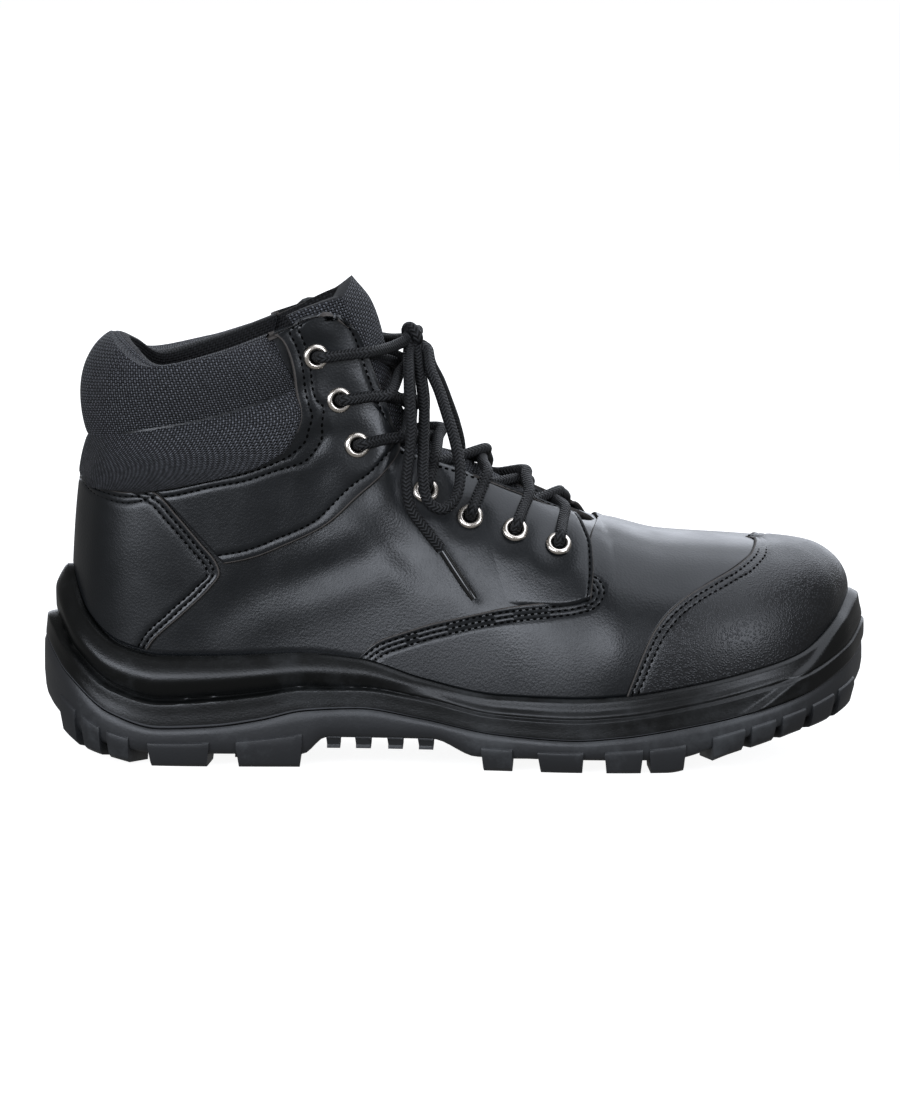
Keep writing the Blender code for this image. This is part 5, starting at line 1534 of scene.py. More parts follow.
def sole_point(side, s, out, height):
    """Points of the sole's side: so far out from the foot line, at a height."""
    points = foot(side, s) + plan_normal(side, s) * np.asarray(out)[..., None]
    points[..., 2] = height
    return points


def at_level(points, column, lift):
    """The points moved to a level of the boot plus a lift."""
    moved = points.copy()
    moved[..., 2] = level(column, points[..., 0]) + lift
    return moved


def lerp(a, b, f):
    """Points part of the way between two lines of points."""
    return a + (b - a) * f


def bed(side, s):
    """Underside of the midsole along ribs, from the middle line to its turned-up edge."""
    middle = centre(side, s)
    low = sole_point(side, s, read(side, "edge_out", s) - WRAP, 0.0)
    return [at_level(point, "plate", OUTSOLE_SKIN) for point in (middle, lerp(middle, low, MID_LINE), low)]


def add_loft(bm, profile, count, line=None):
    """Closed body whose ribs run from the middle line below to the middle line above.

    The rows between both numbers of line get the second material.
    """
    s = np.linspace(0.0, TOE, count + 1)
    for side in (OUTER, INNER):
        lines, others = profile(side, s), profile(-side, s)
        block = np.stack(lines, axis=1)
        ends = 0.5 * (block + np.stack(others, axis=1))
        block[0], block[-1] = ends[0], ends[-1]
        cuts = (0, *(line or ()), block.shape[1] - 1)
        for k, (low, high) in enumerate(zip(cuts, cuts[1:])):
            add_sheet(bm, block[:, low:high + 1], flip=side == INNER, slot=k % 2)


def outsole_profile(side, s):
    """Ribs of the outsole: underside, side wall with its rounded shoulder, then back along the bed."""
    edge, part = read(side, "edge_out", s), read(side, "part", s)
    middle = centre(side, s)
    rim_low = at_level(sole_point(side, s, edge - TREAD_INSET, 0.0), "plate", 0.0)
    low_z = rim_low[..., 2]
    walls = []
    for share, out in OUTSOLE_WALL:
        walls.append(sole_point(side, s, edge + out, low_z + share * (part - PART_GAP - low_z)))
    shoulder = sole_point(side, s, edge - 0.7, part - 0.1)
    bed_edge = sole_point(side, s, edge - 1.6, part - 0.2)
    under = [at_level(middle, "plate", 0.0), at_level(lerp(middle, rim_low, MID_LINE), "plate", 0.0)]
    return [*under, rim_low, *walls, shoulder, bed_edge, *bed(side, s)[::-1]]


def rib_at(side, x):
    """Rib whose tread edge lies at x."""
    s = np.linspace(0.0, TOE, 1601)
    edge = sole_point(side, s, read(side, "edge_out", s) - TREAD_INSET, 0.0)
    return float(s[np.argmin(np.abs(edge[:, 0] - x))])


def add_edge_lug(bm, side, lug):
    """Side lug: a block under the tread whose outer face climbs the wall as a chamfered panel."""
    s = np.linspace(rib_at(OUTER, lug.start), rib_at(OUTER, lug.end), 7)
    edge, part = read(side, "edge_out", s), read(side, "part", s)
    outer = sole_point(side, s, edge - TREAD_INSET - LUG_INSET, 0.0)
    inner = lerp(centre(side, s), outer, 1.0 - lug.cover)
    plate = level("plate", outer[..., 0])
    at_waist = WAIST[0] < lug.start < WAIST[1]
    climb = plate + (WAIST_CLIMB if at_waist else SIDE_CLIMB) * (part - plate)
    proud = WAIST_PROUD if at_waist else SIDE_PROUD
    loop = [
        at_level(inner, "plate", LUG_ROOT),
        at_level(inner, "tread", 0.0),
        at_level(outer, "tread", 0.0),
        sole_point(side, s, edge + proud - 1.5, level("tread", outer[..., 0]) + 1.4),
        sole_point(side, s, edge + proud, lerp(plate, climb, 0.45)),
        sole_point(side, s, edge + proud, climb - 1.2),
        sole_point(side, s, edge - 0.6 + min(proud, 0.0), climb),
        sole_point(side, s, edge - 2.8 + min(proud, 0.0), climb - 1.0),
    ]
    block = np.stack([*loop, loop[0]])
    waist = block[:, 1:-1].mean(axis=1, keepdims=True)
    low = (block[..., 2] < plate)[..., None]
    block = np.where(low, lerp(block, waist, LUG_DRAFT), block)
    block[..., 2] = np.stack([*loop, loop[0]])[..., 2]
    add_sheet(bm, block)


def add_middle_lug(bm, lug):
    """Block across the middle of the tread."""
    s = np.linspace(rib_at(OUTER, lug.start), rib_at(OUTER, lug.end), 3)
    halves = []
    for side in (OUTER, INNER):
        edge = sole_point(side, s, read(side, "edge_out", s) - TREAD_INSET, 0.0)
        halves.append(lerp(centre(side, s), edge, lug.cover))
    loop = [at_level(halves[0], "plate", LUG_ROOT), at_level(halves[0], "tread", 0.0),
            at_level(halves[1], "tread", 0.0), at_level(halves[1], "plate", LUG_ROOT)]
    add_sheet(bm, np.stack([*loop, loop[0]]))


def build_outsole():
    """Outsole plate with raised side lugs and middle lugs."""
    bm = bmesh.new()
    add_loft(bm, outsole_profile, count=170)
    bmesh.ops.remove_doubles(bm, verts=bm.verts, dist=WELD * MM)
    bmesh.ops.recalc_face_normals(bm, faces=bm.faces)
    lugs = bmesh.new()
    for lug in EDGE_LUGS:
        for side in (OUTER, INNER):
            add_edge_lug(lugs, side, lug)
    for lug in MIDDLE_LUGS:
        add_middle_lug(lugs, lug)
    close_ends(lugs)
    sharp = [edge for edge in lugs.edges if edge.calc_face_angle(0.0) > math.radians(LUG_SHARP_ANGLE)]
    bmesh.ops.bevel(lugs, geom=sharp, offset=LUG_BEVEL * MM, offset_type="OFFSET", segments=2, profile=0.5,
                    affect="EDGES", material=-1, clamp_overlap=True)
    join_into(bm, lugs)
    return finish_piece("outsole_rubber", bm, (LOOKS["outsole"],), weld=TINY)


# Rows of the midsole's grid that show its parting line
FLASH_ROWS = (3, 5)
# Toe bumper: where its slanted rear edge starts, how far it stands out, and the bead along that edge
BUMPER_START = 111.0
BUMPER_SLANT = 34.0
BUMPER_LIFT = 1.2
BUMPER_RISE = (-5.0, 2.5)
BEAD_LIFT = 0.35
BEAD_AT = 2.0
BEAD_WIDTH = 3.6
BUMPER_TOP = (1.0, 0.9)
BUMPER_FOOT = (0.0, 0.06)
# Grid of the midsole's side, finer round its groove
MIDSOLE_HEIGHTS = np.concatenate([np.linspace(0.0, 0.3, 14), np.linspace(0.32, 0.62, 20),
                                  np.linspace(0.65, 1.0, 16)])
SIDE_COLUMNS = ("edge_out", "part", "groove", "lip", "belly_out", "groove_out", "roll_out", "lip_out")
INSOLE_ROUND = 0.8


def wall_out(side, s, heights):
    """How far out the midsole's side stands, at shares of its height from the parting line to the lip.

    Its rows are a height and the reach there: parting line, belly, groove, roll and rounded lip.
    """
    result, levels = [], []
    for rib in s:
        edge, part, groove, lip, belly, notch, roll, lip_out = (
            float(read(side, name, rib)) for name in SIDE_COLUMNS)
        shelf = max(belly - notch, 0.0)
        rows = (
            (part, edge - 1.95),
            (part + 0.5, edge - 0.6),
            (lerp(part, groove, 0.52), belly),
            (lerp(part, groove, 0.86), notch + 0.9 * shelf),
            (groove, notch - 0.25 * shelf),
            (lerp(groove, lip, 0.1), notch + 0.1 * (roll - notch)),
            (lerp(groove, lip, 0.45), roll),
            (lip - 1.3, lip_out + 0.7),
            (lip, lip_out - 0.6),
        )
        places = part + (lip - part) * heights
        levels.append(places)
        result.append(smooth(*zip(*rows), places))
    return np.array(result), np.array(levels)


def midsole_profile(side, s):
    """Ribs of the cup midsole: bed, parting line, two rolls and their groove, lip and inside wall."""
    heights = MIDSOLE_HEIGHTS
    outs, zs = wall_out(side, s, heights)
    x = foot(side, s)[:, 0][:, None] + plan_normal(side, s)[:, 0][:, None] * outs
    ahead = x - (BUMPER_START + BUMPER_SLANT * heights[None])
    bead = BEAD_LIFT * np.exp(-((ahead - BEAD_AT) / BEAD_WIDTH) ** 2)
    bumper = BUMPER_LIFT * step_up(*BUMPER_RISE, ahead) + bead
    outs = outs + bumper * step_up(*BUMPER_TOP, heights[None]) * step_up(*BUMPER_FOOT, heights[None])
    middle = centre(side, s)
    inner_low = margin(side, s) + plan_normal(side, s) * CUP_GAP
    floor_edge = at_level(inner_low, "floor", 0.0)
    lip = read(side, "lip", s)
    walls = [sole_point(side, s, outs[:, k], zs[:, k]) for k in range(len(heights))]
    return [*bed(side, s), *walls, sole_point(side, s, np.full_like(s, CUP_GAP), lip), floor_edge,
            at_level(lerp(middle, floor_edge, MID_LINE), "floor", 0.0), at_level(middle, "floor", 0.0)]


def insole_profile(side, s):
    """Ribs of the footbed on the floor of the cup, with a rounded edge."""
    edge = margin(side, s) - plan_normal(side, s) * (WALL + INSOLE_GAP)
    middle = centre(side, s)
    upper_edge = edge - plan_normal(side, s) * INSOLE_ROUND
    return [at_level(middle, "floor", PART_GAP), at_level(edge, "floor", PART_GAP),
            at_level(edge, "floor", PART_GAP + 0.6 * INSOLE_THICKNESS),
            at_level(upper_edge, "floor", PART_GAP + INSOLE_THICKNESS),
            at_level(lerp(middle, upper_edge, 0.7), "floor", PART_GAP + INSOLE_THICKNESS),
            at_level(middle, "floor", PART_GAP + INSOLE_THICKNESS)]


def build_loft(name, profile, looks, count, line=None):
    """A closed loft as a finished piece."""
    bm = bmesh.new()
    add_loft(bm, profile, count, line)
    return finish_piece(name, bm, [LOOKS[look] for look in looks], recalc=True)


# Eyelets, lace and stitching

# Section of an eyelet's rolled ring: radius and height over the leather
EYELET_PROFILE = (
    (2.5, -1.6), (2.5, 0.35), (2.7, 0.8), (3.1, 1.1), (3.7, 1.2), (4.3, 1.0), (4.75, 0.55), (4.9, 0.0),
    (4.6, -0.25), (3.1, -0.3), (3.0, -1.6),
)
EYELET_STEPS = 36
# Dark disc that closes the view into the hole: its radius and its height over the leather
HOLE_RADIUS = EYELET_PROFILE[0][0] * 1.02
HOLE_HEIGHT = 0.1
HOLE_STEPS = 18
# Lift of each eyelet's seat off the shell, from the top one down
EYELET_LIFTS = (2.0, 2.0, 2.0, 0.2, 0.4, 1.3, 2.6)

LACE_RADIUS = 2.15
LACE_STEPS = 760
LACE_OVER_EDGE = 3.6
LACE_UNDER_EDGE = -3.2
LACE_CROSSING = 3.6
LACE_OVER_TONGUE = 0.6
CROSS_SHARE = 0.2
KNOT_CENTRE = (-15.6, 0.0, 158.2)
KNOT_SIZE = (4.6, 6.4, 6.0)
LOOP_EXIT = (0.65, 0.50, -0.57)
END_EXIT = (-0.15, 0.80, -0.58)
EXIT_RUN = 3.6
LOOP_RETURN = (0.35, 0.60, -0.72)
KNOT_GAP = 0.0
LOOP_ROUTE = (
    (-8.6, 11.0, 147.0), (-5.4, 16.5, 140.0), (-2.4, 22.5, 131.4), (0.6, 28.0, 122.0), (2.6, 33.5, 111.8),
    (1.2, 38.0, 103.0), (-4.0, 40.4, 98.0), (-9.6, 39.6, 101.0), (-11.4, 35.4, 109.2),
    (-11.4, 30.0, 116.6), (-11.2, 24.4, 124.6), (-11.0, 18.8, 132.6), (-12.0, 13.4, 141.0),
)
END_ROUTE = (
    (-16.8, 16.2, 147.0), (-16.6, 23.0, 138.4), (-15.8, 29.0, 127.6), (-16.6, 33.6, 117.6),
    (-17.6, 37.8, 107.6), (-16.0, 41.0, 98.4), (-10.4, 42.6, 90.6), (-4.4, 43.6, 83.2),
)
AGLET_ROUTE = ((-4.0, 43.7, 82.6), (2.0, 46.0, 73.6), (7.8, 48.2, 65.0))
AGLET_RADIUS = 1.25
AGLET_SLEEVE = 1.35
AGLET_STEPS = 16
AGLET_TAPER = 0.25
AGLET_TAPER_POWER = 6
BOW_STEPS = 110
CORD_POINTS = 36
# Thread bars of the stitches: height as a share of the width, and how far they stand off the seam
STITCH_HEIGHT = 0.35
STITCH_LIFT = 0.05
STITCH_AHEAD = 0.2


def eyelet_seat(side, number):
    """Centre and direction of an eyelet's seat on the leather; both sides share its rib."""
    s, t = locate(OUTER, *EYELETS[number])
    lift = BASE + EYELET_LIFTS[number]
    spot = (np.array(s), np.array(t))
    direction = normal(side, *spot)
    return surface(side, *spot) + direction * lift, direction


def build_eyelets():
    """Rolled nickel rings, seven a side, turned from one profile."""
    bm = bmesh.new()
    for side, _ in SIDES_OF_FOOT:
        for number in range(len(EYELETS)):
            seat, direction = eyelet_seat(side, number)
            turn = Vector(direction).to_track_quat("Z", "Y").to_matrix().to_4x4()
            verts = [bm.verts.new((radius * MM, 0.0, height * MM)) for radius, height in EYELET_PROFILE]
            ring = [bm.edges.new((verts[k], verts[(k + 1) % len(verts)])) for k in range(len(verts))]
            before = set(bm.verts)
            bmesh.ops.spin(bm, geom=verts + ring, cent=(0, 0, 0), axis=(0, 0, 1), angle=2.0 * math.pi,
                           steps=EYELET_STEPS, use_merge=True)
            hole = bmesh.ops.create_circle(bm, cap_ends=True, segments=HOLE_STEPS, radius=HOLE_RADIUS * MM,
                                           matrix=Matrix.Translation((0.0, 0.0, HOLE_HEIGHT * MM)))
            for face in {face for vert in hole["verts"] for face in vert.link_faces}:
                face.material_index = 1
            made = verts + [vert for vert in bm.verts if vert not in before]
            bmesh.ops.transform(bm, matrix=Matrix.Translation(Vector(seat) * MM) @ turn, verts=made)
    return finish_piece("eyelets_nickel", bm, (LOOKS["nickel"], LOOKS["thread"]), weld=0.01, recalc=True)


def throat_edge(side, number):
    """Rib of the throat edge by an eyelet: level with it on the eyestay, nearest to it below."""
    s = np.linspace(6.0, 11.0, 401)
    away = top(side, s) - eyelet_seat(side, number)[0]
    if number < ON_EYESTAY:
        return float(s[np.argmin(np.abs(away[:, 2] - 1.0))])
    return float(s[np.argmin(np.linalg.norm(away, axis=-1))])


def tongue_crest(s, lift):
    """Lace centre over the middle of the tongue, at the throat rib s."""
    rows = TONGUE[::-1]
    ribs = [row.edge_s for row in rows]
    xs, zs = [row.centre_x for row in rows], [row.centre_z for row in rows]
    here, ahead = (np.array([float(smooth(ribs, xs, k)), 0.0, float(smooth(ribs, zs, k))])
                   for k in (s, s + 0.1))
    run = unit(ahead - here)
    return here + np.array([-run[2], 0.0, run[0]]) * (lift + LACE_RADIUS)


def edge_point(side, number, lift):
    """Lace centre by the throat edge next to an eyelet."""
    s = throat_edge(side, number)
    lift += EYESTAY_LIFT if number < ON_EYESTAY and lift > 0.0 else 0.0
    spot = (np.array(s), np.array(1.0))
    return top(side, spot[0]) + normal(side, *spot) * lift


def lace_path(side):
    """Half of the laced lace: from its lowest eyelet, crossing at each row, up to the knot."""
    points = []
    for number in range(len(EYELETS) - 1, -1, -1):
        seat, direction = eyelet_seat(side, number)
        edge = edge_point(side, number, LACE_OVER_EDGE)
        lean = unit(edge - seat)
        points += [seat - direction * 6.0 - lean * 0.5, seat - direction * 2.0,
                   seat + direction * 1.6 + lean * 0.7, seat + direction * 3.3 + lean * 2.6,
                   lerp(seat + direction * 3.6, edge, 0.6), edge]
        if number == 0:
            break
        own, other = throat_edge(OUTER, number), throat_edge(OUTER, number - 1)
        under = (number % 2 == 0) == (side == OUTER)
        lift = LACE_OVER_TONGUE + (0.0 if under else LACE_CROSSING)
        crest = tongue_crest(own + (other - own) * CROSS_SHARE, lift)
        dive = edge_point(-side, number - 1, LACE_UNDER_EDGE)
        points += [lerp(edge, crest, 0.6) + np.array([0.0, 0.0, 0.6]), crest, lerp(crest, dive, 0.55), dive]
        side = -side
    points += [lerp(edge, np.array(KNOT_CENTRE), 0.5) + np.array([0.0, 0.0, -0.8]), np.array(KNOT_CENTRE)]
    return smooth_path(points, LACE_STEPS)


def beside_knot(direction, out):
    """Point at a distance outside the knot, in a direction from its centre."""
    direction = unit(np.asarray(direction, float))
    reach = 1.0 / math.sqrt(sum((part / size) ** 2 for part, size in zip(direction, KNOT_SIZE)))
    return np.array(KNOT_CENTRE) + direction * (reach + out)


def bow_path(side, leave, route, steps):
    """Route of a bow's loop or end, from inside the knot."""
    way = np.array([leave[0], side * leave[1], leave[2]])
    points = [beside_knot(way, KNOT_GAP), beside_knot(way, EXIT_RUN)]
    points += [np.array([x, side * y, z]) for x, y, z in route]
    if route is LOOP_ROUTE:
        points.append(beside_knot(np.array(LOOP_RETURN) * (1.0, side, 1.0), -2.0))
    return smooth_path(points, steps)


def build_cord(name, paths, radius, look, taper=None, weld=TINY):
    """Round cord along its paths, as a finished piece."""
    bm = bmesh.new()
    for path in paths:
        add_tube(bm, path, radius, taper)
    close_ends(bm)
    return finish_piece(name, bm, (LOOKS[look],), weld=weld)


def build_laced():
    """Lace through all fourteen eyelets, both halves up to the knot."""
    return build_cord("lace_laced", [lace_path(side) for side, _ in SIDES_OF_FOOT], LACE_RADIUS, "lace")


def build_knot():
    """Knot of the bow: the lace wound through itself as a trefoil and drawn tight."""
    turn = np.linspace(0.0, 2.0 * math.pi, 121)
    wide = 2.0 + np.cos(3.0 * turn)
    shape = np.stack([np.sin(3.0 * turn) * 1.3, wide * np.cos(2.0 * turn), wide * np.sin(2.0 * turn)],
                     axis=-1) / 3.0
    reach = np.array(KNOT_SIZE) - 0.75 * LACE_RADIUS
    path = np.array(KNOT_CENTRE) + shape * reach * np.array([1.6, 1.0, 1.0])
    return build_cord("lace_knot_tied", [path], LACE_RADIUS, "lace", weld=WELD)


def build_stitches(pitch, length, width):
    """Lockstitches along every seam: short thread bars sunk into the leather."""
    whole = bmesh.new()
    size = Matrix.Diagonal((0.5 * length * MM, 0.5 * width * MM, STITCH_HEIGHT * width * MM, 1.0))
    for seam in STITCHES:
        run = runs_along(seam.line)
        count = max(int(run[-1] / pitch), 2)
        middles = (np.arange(count) + 0.5) * run[-1] / count
        here, ahead, out = (np.stack([np.interp(places, run, block[:, axis]) for axis in range(3)], axis=-1)
                            for places, block in ((middles, seam.line), (middles + STITCH_AHEAD, seam.line),
                                                  (middles, seam.facing)))
        along, out = unit(ahead - here), unit(out)
        bars = bmesh.new()
        for spot, run_way, out_way in zip(here, along, out):
            turn = Matrix((run_way, np.cross(out_way, run_way), out_way)).transposed().to_4x4()
            place = Matrix.Translation(Vector(spot + out_way * STITCH_LIFT) * MM)
            bmesh.ops.create_uvsphere(bars, u_segments=6, v_segments=4, radius=1.0,
                                      matrix=place @ turn @ size)
        join_into(whole, bars)
    return finish_piece("stitching_thread", whole, (LOOKS["thread"],), weld=0.0)


# Add-on

class BootSizes(bpy.types.PropertyGroup):
    """Sizes of the boot's finish that a user may change."""

    lace_radius: bpy.props.FloatProperty(
        name="Lace radius", description="Radius of the round lace", default=LACE_RADIUS * MM, unit="LENGTH")
    weave_pitch: bpy.props.FloatProperty(
        name="Weave pitch", description="Width of a nylon thread, drawn coarse enough to show",
        default=1.05 * MM, unit="LENGTH")
    stitch_pitch: bpy.props.FloatProperty(
        name="Stitch pitch", description="Distance between two stitches", default=2.5 * MM, unit="LENGTH")
    stitch_length: bpy.props.FloatProperty(
        name="Stitch length", description="Length of thread that shows in one stitch", default=1.75 * MM,
        unit="LENGTH")
    stitch_width: bpy.props.FloatProperty(
        name="Stitch width", description="Thickness of the thread", default=1.1 * MM, unit="LENGTH")


class BootColours(bpy.types.PropertyGroup):
    """Colours of the boot's materials."""

    leather: bpy.props.FloatVectorProperty(
        name="Leather", description="Smooth leather", size=4, subtype="COLOR", default=tint("#0d1013"))
    grained: bpy.props.FloatVectorProperty(
        name="Toe cap", description="Grained leather", size=4, subtype="COLOR", default=tint("#15171a"))
    cut_edge: bpy.props.FloatVectorProperty(
        name="Cut edge", description="Raw edge of the leather", size=4, subtype="COLOR",
        default=tint("#4f4a46"))
    nylon: bpy.props.FloatVectorProperty(
        name="Nylon", description="Collar and tongue", size=4, subtype="COLOR", default=tint("#75777d"))
    lining: bpy.props.FloatVectorProperty(
        name="Lining", description="Lining of the shaft", size=4, subtype="COLOR", default=tint("#1f2023"))
    midsole: bpy.props.FloatVectorProperty(
        name="Midsole", description="Foam cup", size=4, subtype="COLOR", default=tint("#050606"))
    outsole: bpy.props.FloatVectorProperty(
        name="Outsole", description="Rubber tread", size=4, subtype="COLOR", default=tint("#232426"))
    nickel: bpy.props.FloatVectorProperty(
        name="Nickel", description="Eyelets", size=4, subtype="COLOR", default=tint("#e2dad0"))
    lace: bpy.props.FloatVectorProperty(
        name="Lace", description="Braid", size=4, subtype="COLOR", default=tint("#1a1b1d"))
    floor: bpy.props.FloatVectorProperty(
        name="Floor", description="Studio paper", size=4, subtype="COLOR", default=tint("#9c9c9c"))


def settle(piece, slot, *nodes):
    """Ride a piece on the boot, name its finish and let it stand for its solids."""
    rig.ride(piece, "root")
    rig.slot(piece, slot)
    if nodes:
        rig.replaces(piece, *nodes)
    return piece


CAMERA_TARGET = (-1.3, 0.0, 77.3)
CAMERA_LENS = 420.0
CAMERA_SENSOR = 36.0
CAMERA_TILT = 8.0
CAMERA_FRAME = 342.0

WORLD_LIGHT = 0.2
FLOOR_SIZE = 9.0
LAMP_COLOUR = "#eef4ff"
# Lamps round the boot in metres and watts
Softbox = namedtuple("Softbox", "name place aim size power")
SOFTBOXES = (
    Softbox("softbox_overhead", (0.5, 0.0, 1.25), (0.05, 0.0, 0.05), (1.9, 0.9), 12.0),
    Softbox("softbox_front", (-0.5, -1.4, 0.55), (0.0, -0.03, 0.09), (1.1, 0.5), 11.0),
    Softbox("softbox_heel", (-1.05, -1.05, 0.45), (-0.1, -0.02, 0.08), (0.6, 0.55), 8.0),
    Softbox("softbox_toe", (1.1, -1.2, 0.62), (0.05, -0.02, 0.08), (0.7, 0.6), 10.0),
    Softbox("softbox_back", (0.1, 1.9, 0.65), (0.0, 0.0, 0.1), (2.6, 0.9), 15.0),
    Softbox("softbox_sky", (0.5, 1.1, 1.1), (0.05, 0.0, 0.08), (2.2, 0.9), 9.0),
)


class BOOT_OT_stage(bpy.types.Operator):
    """Make the camera, the lights, the floor and the materials"""

    bl_idname = "boot.stage"
    bl_label = "Stage and materials"

    def execute(self, context):
        scene = context.scene
        make_looks(scene.boot_colours, scene.boot_sizes)
        tilt = math.radians(CAMERA_TILT)
        ahead = Vector((0.0, math.cos(tilt), -math.sin(tilt)))
        lens = bpy.data.cameras.new("photo_camera")
        lens.sensor_fit = "HORIZONTAL"
        lens.sensor_width = CAMERA_SENSOR
        lens.lens = CAMERA_LENS
        camera = bpy.data.objects.new("photo_camera", lens)
        distance = CAMERA_FRAME * CAMERA_LENS / CAMERA_SENSOR
        camera.location = (Vector(CAMERA_TARGET) - ahead * distance) * MM
        camera.rotation_euler = ahead.to_track_quat("-Z", "Y").to_euler()
        scene.collection.objects.link(camera)
        scene.camera = camera
        for box in SOFTBOXES:
            light = bpy.data.lights.new(box.name, "AREA")
            light.shape = "RECTANGLE"
            light.size, light.size_y = box.size
            light.energy = box.power
            light.color = tint(LAMP_COLOUR)[:3]
            lamp = bpy.data.objects.new(box.name, light)
            lamp.location = box.place
            aim = Vector(box.aim) - Vector(box.place)
            lamp.rotation_euler = aim.to_track_quat("-Z", "Y").to_euler()
            scene.collection.objects.link(lamp)
        world = bpy.data.worlds.new("studio_white")
        world.use_nodes = True
        sky = world.node_tree.nodes["Background"]
        connect(sky, Color=tint("#ffffff"), Strength=WORLD_LIGHT)
        scene.world = world
        scene.view_settings.view_transform = "Standard"
        bm = bmesh.new()
        bmesh.ops.create_grid(bm, x_segments=2, y_segments=2, size=FLOOR_SIZE)
        floor = finish_piece("floor_paper", bm, (LOOKS["floor"],))
        # The glowing paper would wash out the black leather in reflections and bounced light.
        floor.visible_diffuse = floor.visible_glossy = False
        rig.stage(floor)
        return {"FINISHED"}


class BOOT_OT_bow(bpy.types.Operator):
    """Tie the bow: its loops, its ends with their tips, and the knot"""

    bl_idname = "boot.bow"
    bl_label = "Bow"

    def execute(self, context):
        radius = context.scene.boot_sizes.lace_radius / MM
        for side, label in SIDES_OF_FOOT:
            tip_path = np.array([(x, side * y, z) for x, y, z in AGLET_ROUTE])
            tip_path = smooth_path(tip_path, AGLET_STEPS)
            taper = 1.0 - AGLET_TAPER * np.linspace(0.0, 1.0, AGLET_STEPS + 1) ** AGLET_TAPER_POWER
            sleeve = AGLET_SLEEVE * AGLET_RADIUS
            tip = settle(build_cord(f"aglet_tip_{label}", [tip_path], sleeve, "aglet", taper),
                         "aglet_plastic", f"aglet_{label}")
            for name, leave, route, far_end, extras in (
                    ("lace_loop", LOOP_EXIT, LOOP_ROUTE, "knot", []),
                    ("lace_end", END_EXIT, END_ROUTE, "fitting", [tip])):
                fine = bow_path(side, leave, route, BOW_STEPS)
                piece = settle(build_cord(f"{name}_braid_{label}", [fine], radius, "lace"), "lace_braid",
                               f"{name}_{label}")
                path = [tuple(point * MM) for point in bow_path(side, leave, route, CORD_POINTS)]
                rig.cord(piece, exit=path[0], length=line_length(fine) * MM, diameter=2.0 * radius * MM,
                        far_end=far_end, stiffness="limp", lay="hanging", path=path, with_pieces=extras)
        settle(build_knot(), "lace_braid", "lace_knot")
        return {"FINISHED"}


class BOOT_OT_sole(bpy.types.Operator):
    """Make the outsole with its lugs, the cup midsole and the footbed"""

    bl_idname = "boot.sole"
    bl_label = "Sole"

    def execute(self, context):
        settle(build_outsole(), "tread_rubber", "outsole")
        cup = build_loft("midsole_cup", midsole_profile, ("midsole", "flash"), count=190, line=FLASH_ROWS)
        settle(cup, "foam_rubber", "midsole")
        settle(build_loft("insole_felt", insole_profile, ("felt",), count=90), "felt", "insole")
        return {"FINISHED"}


class BOOT_OT_upper(bpy.types.Operator):
    """Make the lined upper and its leather panels"""

    bl_idname = "boot.upper"
    bl_label = "Upper and panels"

    def execute(self, context):
        settle(build_upper_shell(), "black_leather", "upper")
        panels = build_panels()
        nodes = ("eyestay_lateral", "eyestay_medial", "toe_cap", "vamp", "counter")
        for piece, name in zip(panels, nodes):
            settle(piece, "grained_leather" if name == "toe_cap" else "black_leather", name)
        settle(panels[-1], "black_leather")
        return {"FINISHED"}


class BOOT_OT_collar(bpy.types.Operator):
    """Make the padded collar and the padded tongue"""

    bl_idname = "boot.collar"
    bl_label = "Collar and tongue"

    def execute(self, context):
        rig.padded(settle(build_collar(), "nylon", "collar_cuff"), fill=0.8)
        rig.padded(settle(build_tongue(), "nylon", "tongue"), fill=0.7)
        return {"FINISHED"}


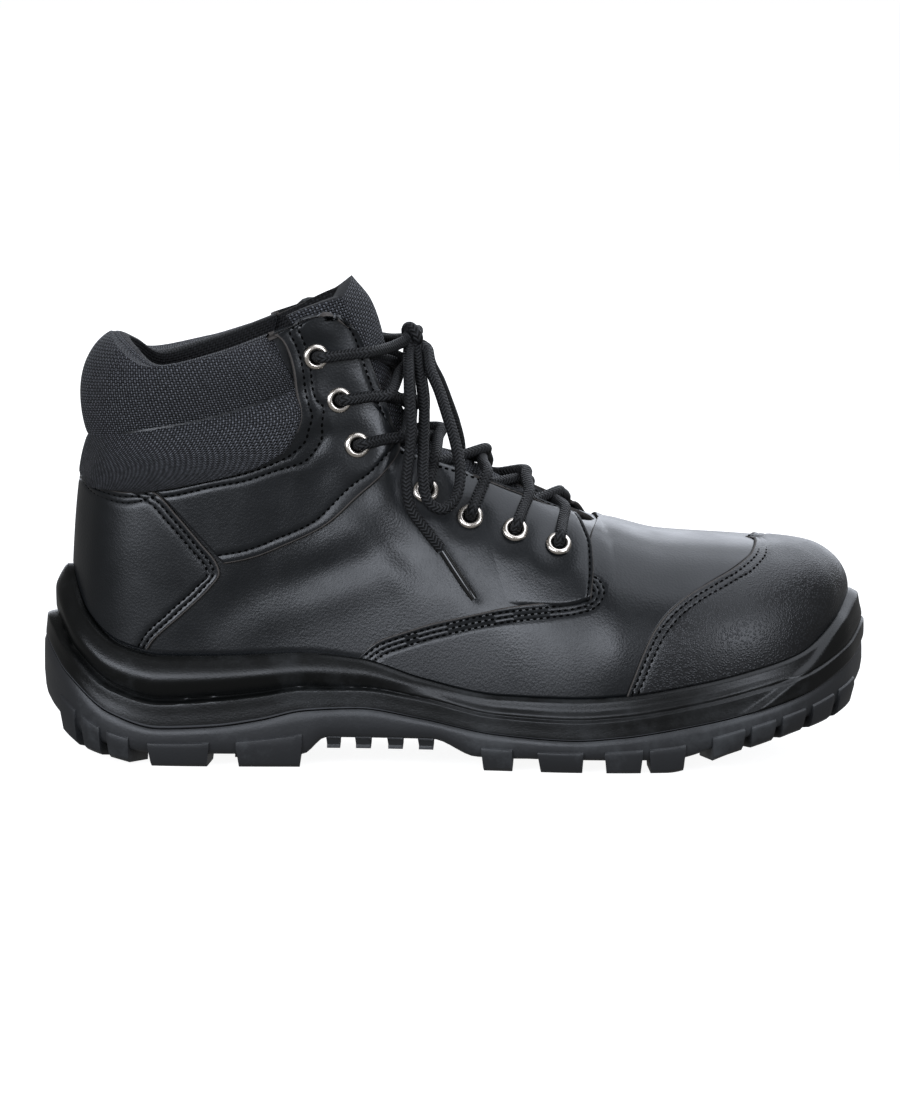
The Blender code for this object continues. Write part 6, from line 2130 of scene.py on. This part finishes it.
class BOOT_OT_lacing(bpy.types.Operator):
    """Make the eyelets and run the lace through them"""

    bl_idname = "boot.lacing"
    bl_label = "Eyelets and lacing"

    def execute(self, context):
        rings = [f"eyelet_{label}_{number + 1}" for _, label in SIDES_OF_FOOT
                 for number in range(len(EYELETS))]
        settle(build_eyelets(), "nickel", *rings)
        strands = [f"lace_crossing_{number}" for number in range(1, len(EYELETS))]
        settle(build_laced(), "lace_braid", *strands, "lace_top_lateral", "lace_top_medial")
        return {"FINISHED"}


class BOOT_OT_stitching(bpy.types.Operator):
    """Sew the seams of the panels"""

    bl_idname = "boot.stitching"
    bl_label = "Stitching"

    def execute(self, context):
        sizes = context.scene.boot_sizes
        settle(build_stitches(sizes.stitch_pitch / MM, sizes.stitch_length / MM, sizes.stitch_width / MM),
               "black_leather")
        return {"FINISHED"}


OPERATORS = (BOOT_OT_stage, BOOT_OT_bow, BOOT_OT_lacing, BOOT_OT_sole, BOOT_OT_upper, BOOT_OT_collar,
             BOOT_OT_stitching)


class BOOT_PT_panel(bpy.types.Panel):
    """Steps that dress the boot"""

    bl_idname = "BOOT_PT_panel"
    bl_label = "Safety Boot"
    bl_space_type = "VIEW_3D"
    bl_region_type = "UI"
    bl_category = "Boot"

    def draw(self, context):
        for group in (context.scene.boot_sizes, context.scene.boot_colours):
            for name in group.__annotations__:
                self.layout.prop(group, name)
        for operator in OPERATORS:
            self.layout.operator(operator.bl_idname)


CLASSES = (BootSizes, BootColours, *OPERATORS, BOOT_PT_panel)


def register():
    """Register the add-on's classes and its settings on the scene."""
    for cls in CLASSES:
        bpy.utils.register_class(cls)
    bpy.types.Scene.boot_sizes = bpy.props.PointerProperty(type=BootSizes)
    bpy.types.Scene.boot_colours = bpy.props.PointerProperty(type=BootColours)


def unregister():
    """Remove the add-on's settings and classes."""
    del bpy.types.Scene.boot_colours
    del bpy.types.Scene.boot_sizes
    for cls in reversed(CLASSES):
        bpy.utils.unregister_class(cls)


def main():
    """Dress the boot step by step and write its sizes."""
    register()
    bpy.ops.boot.stage()
    bpy.ops.boot.bow()
    bpy.ops.boot.lacing()
    bpy.ops.boot.sole()
    bpy.ops.boot.upper()
    bpy.ops.boot.collar()
    bpy.ops.boot.stitching()
    visual_box = [list(corner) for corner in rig.bounds()]
    with open(SIZE_FILE, "w", encoding="utf-8") as out:
        json.dump({"cad": CAD_BOX, "visual": visual_box}, out)


if __name__ == "__main__":
    main()
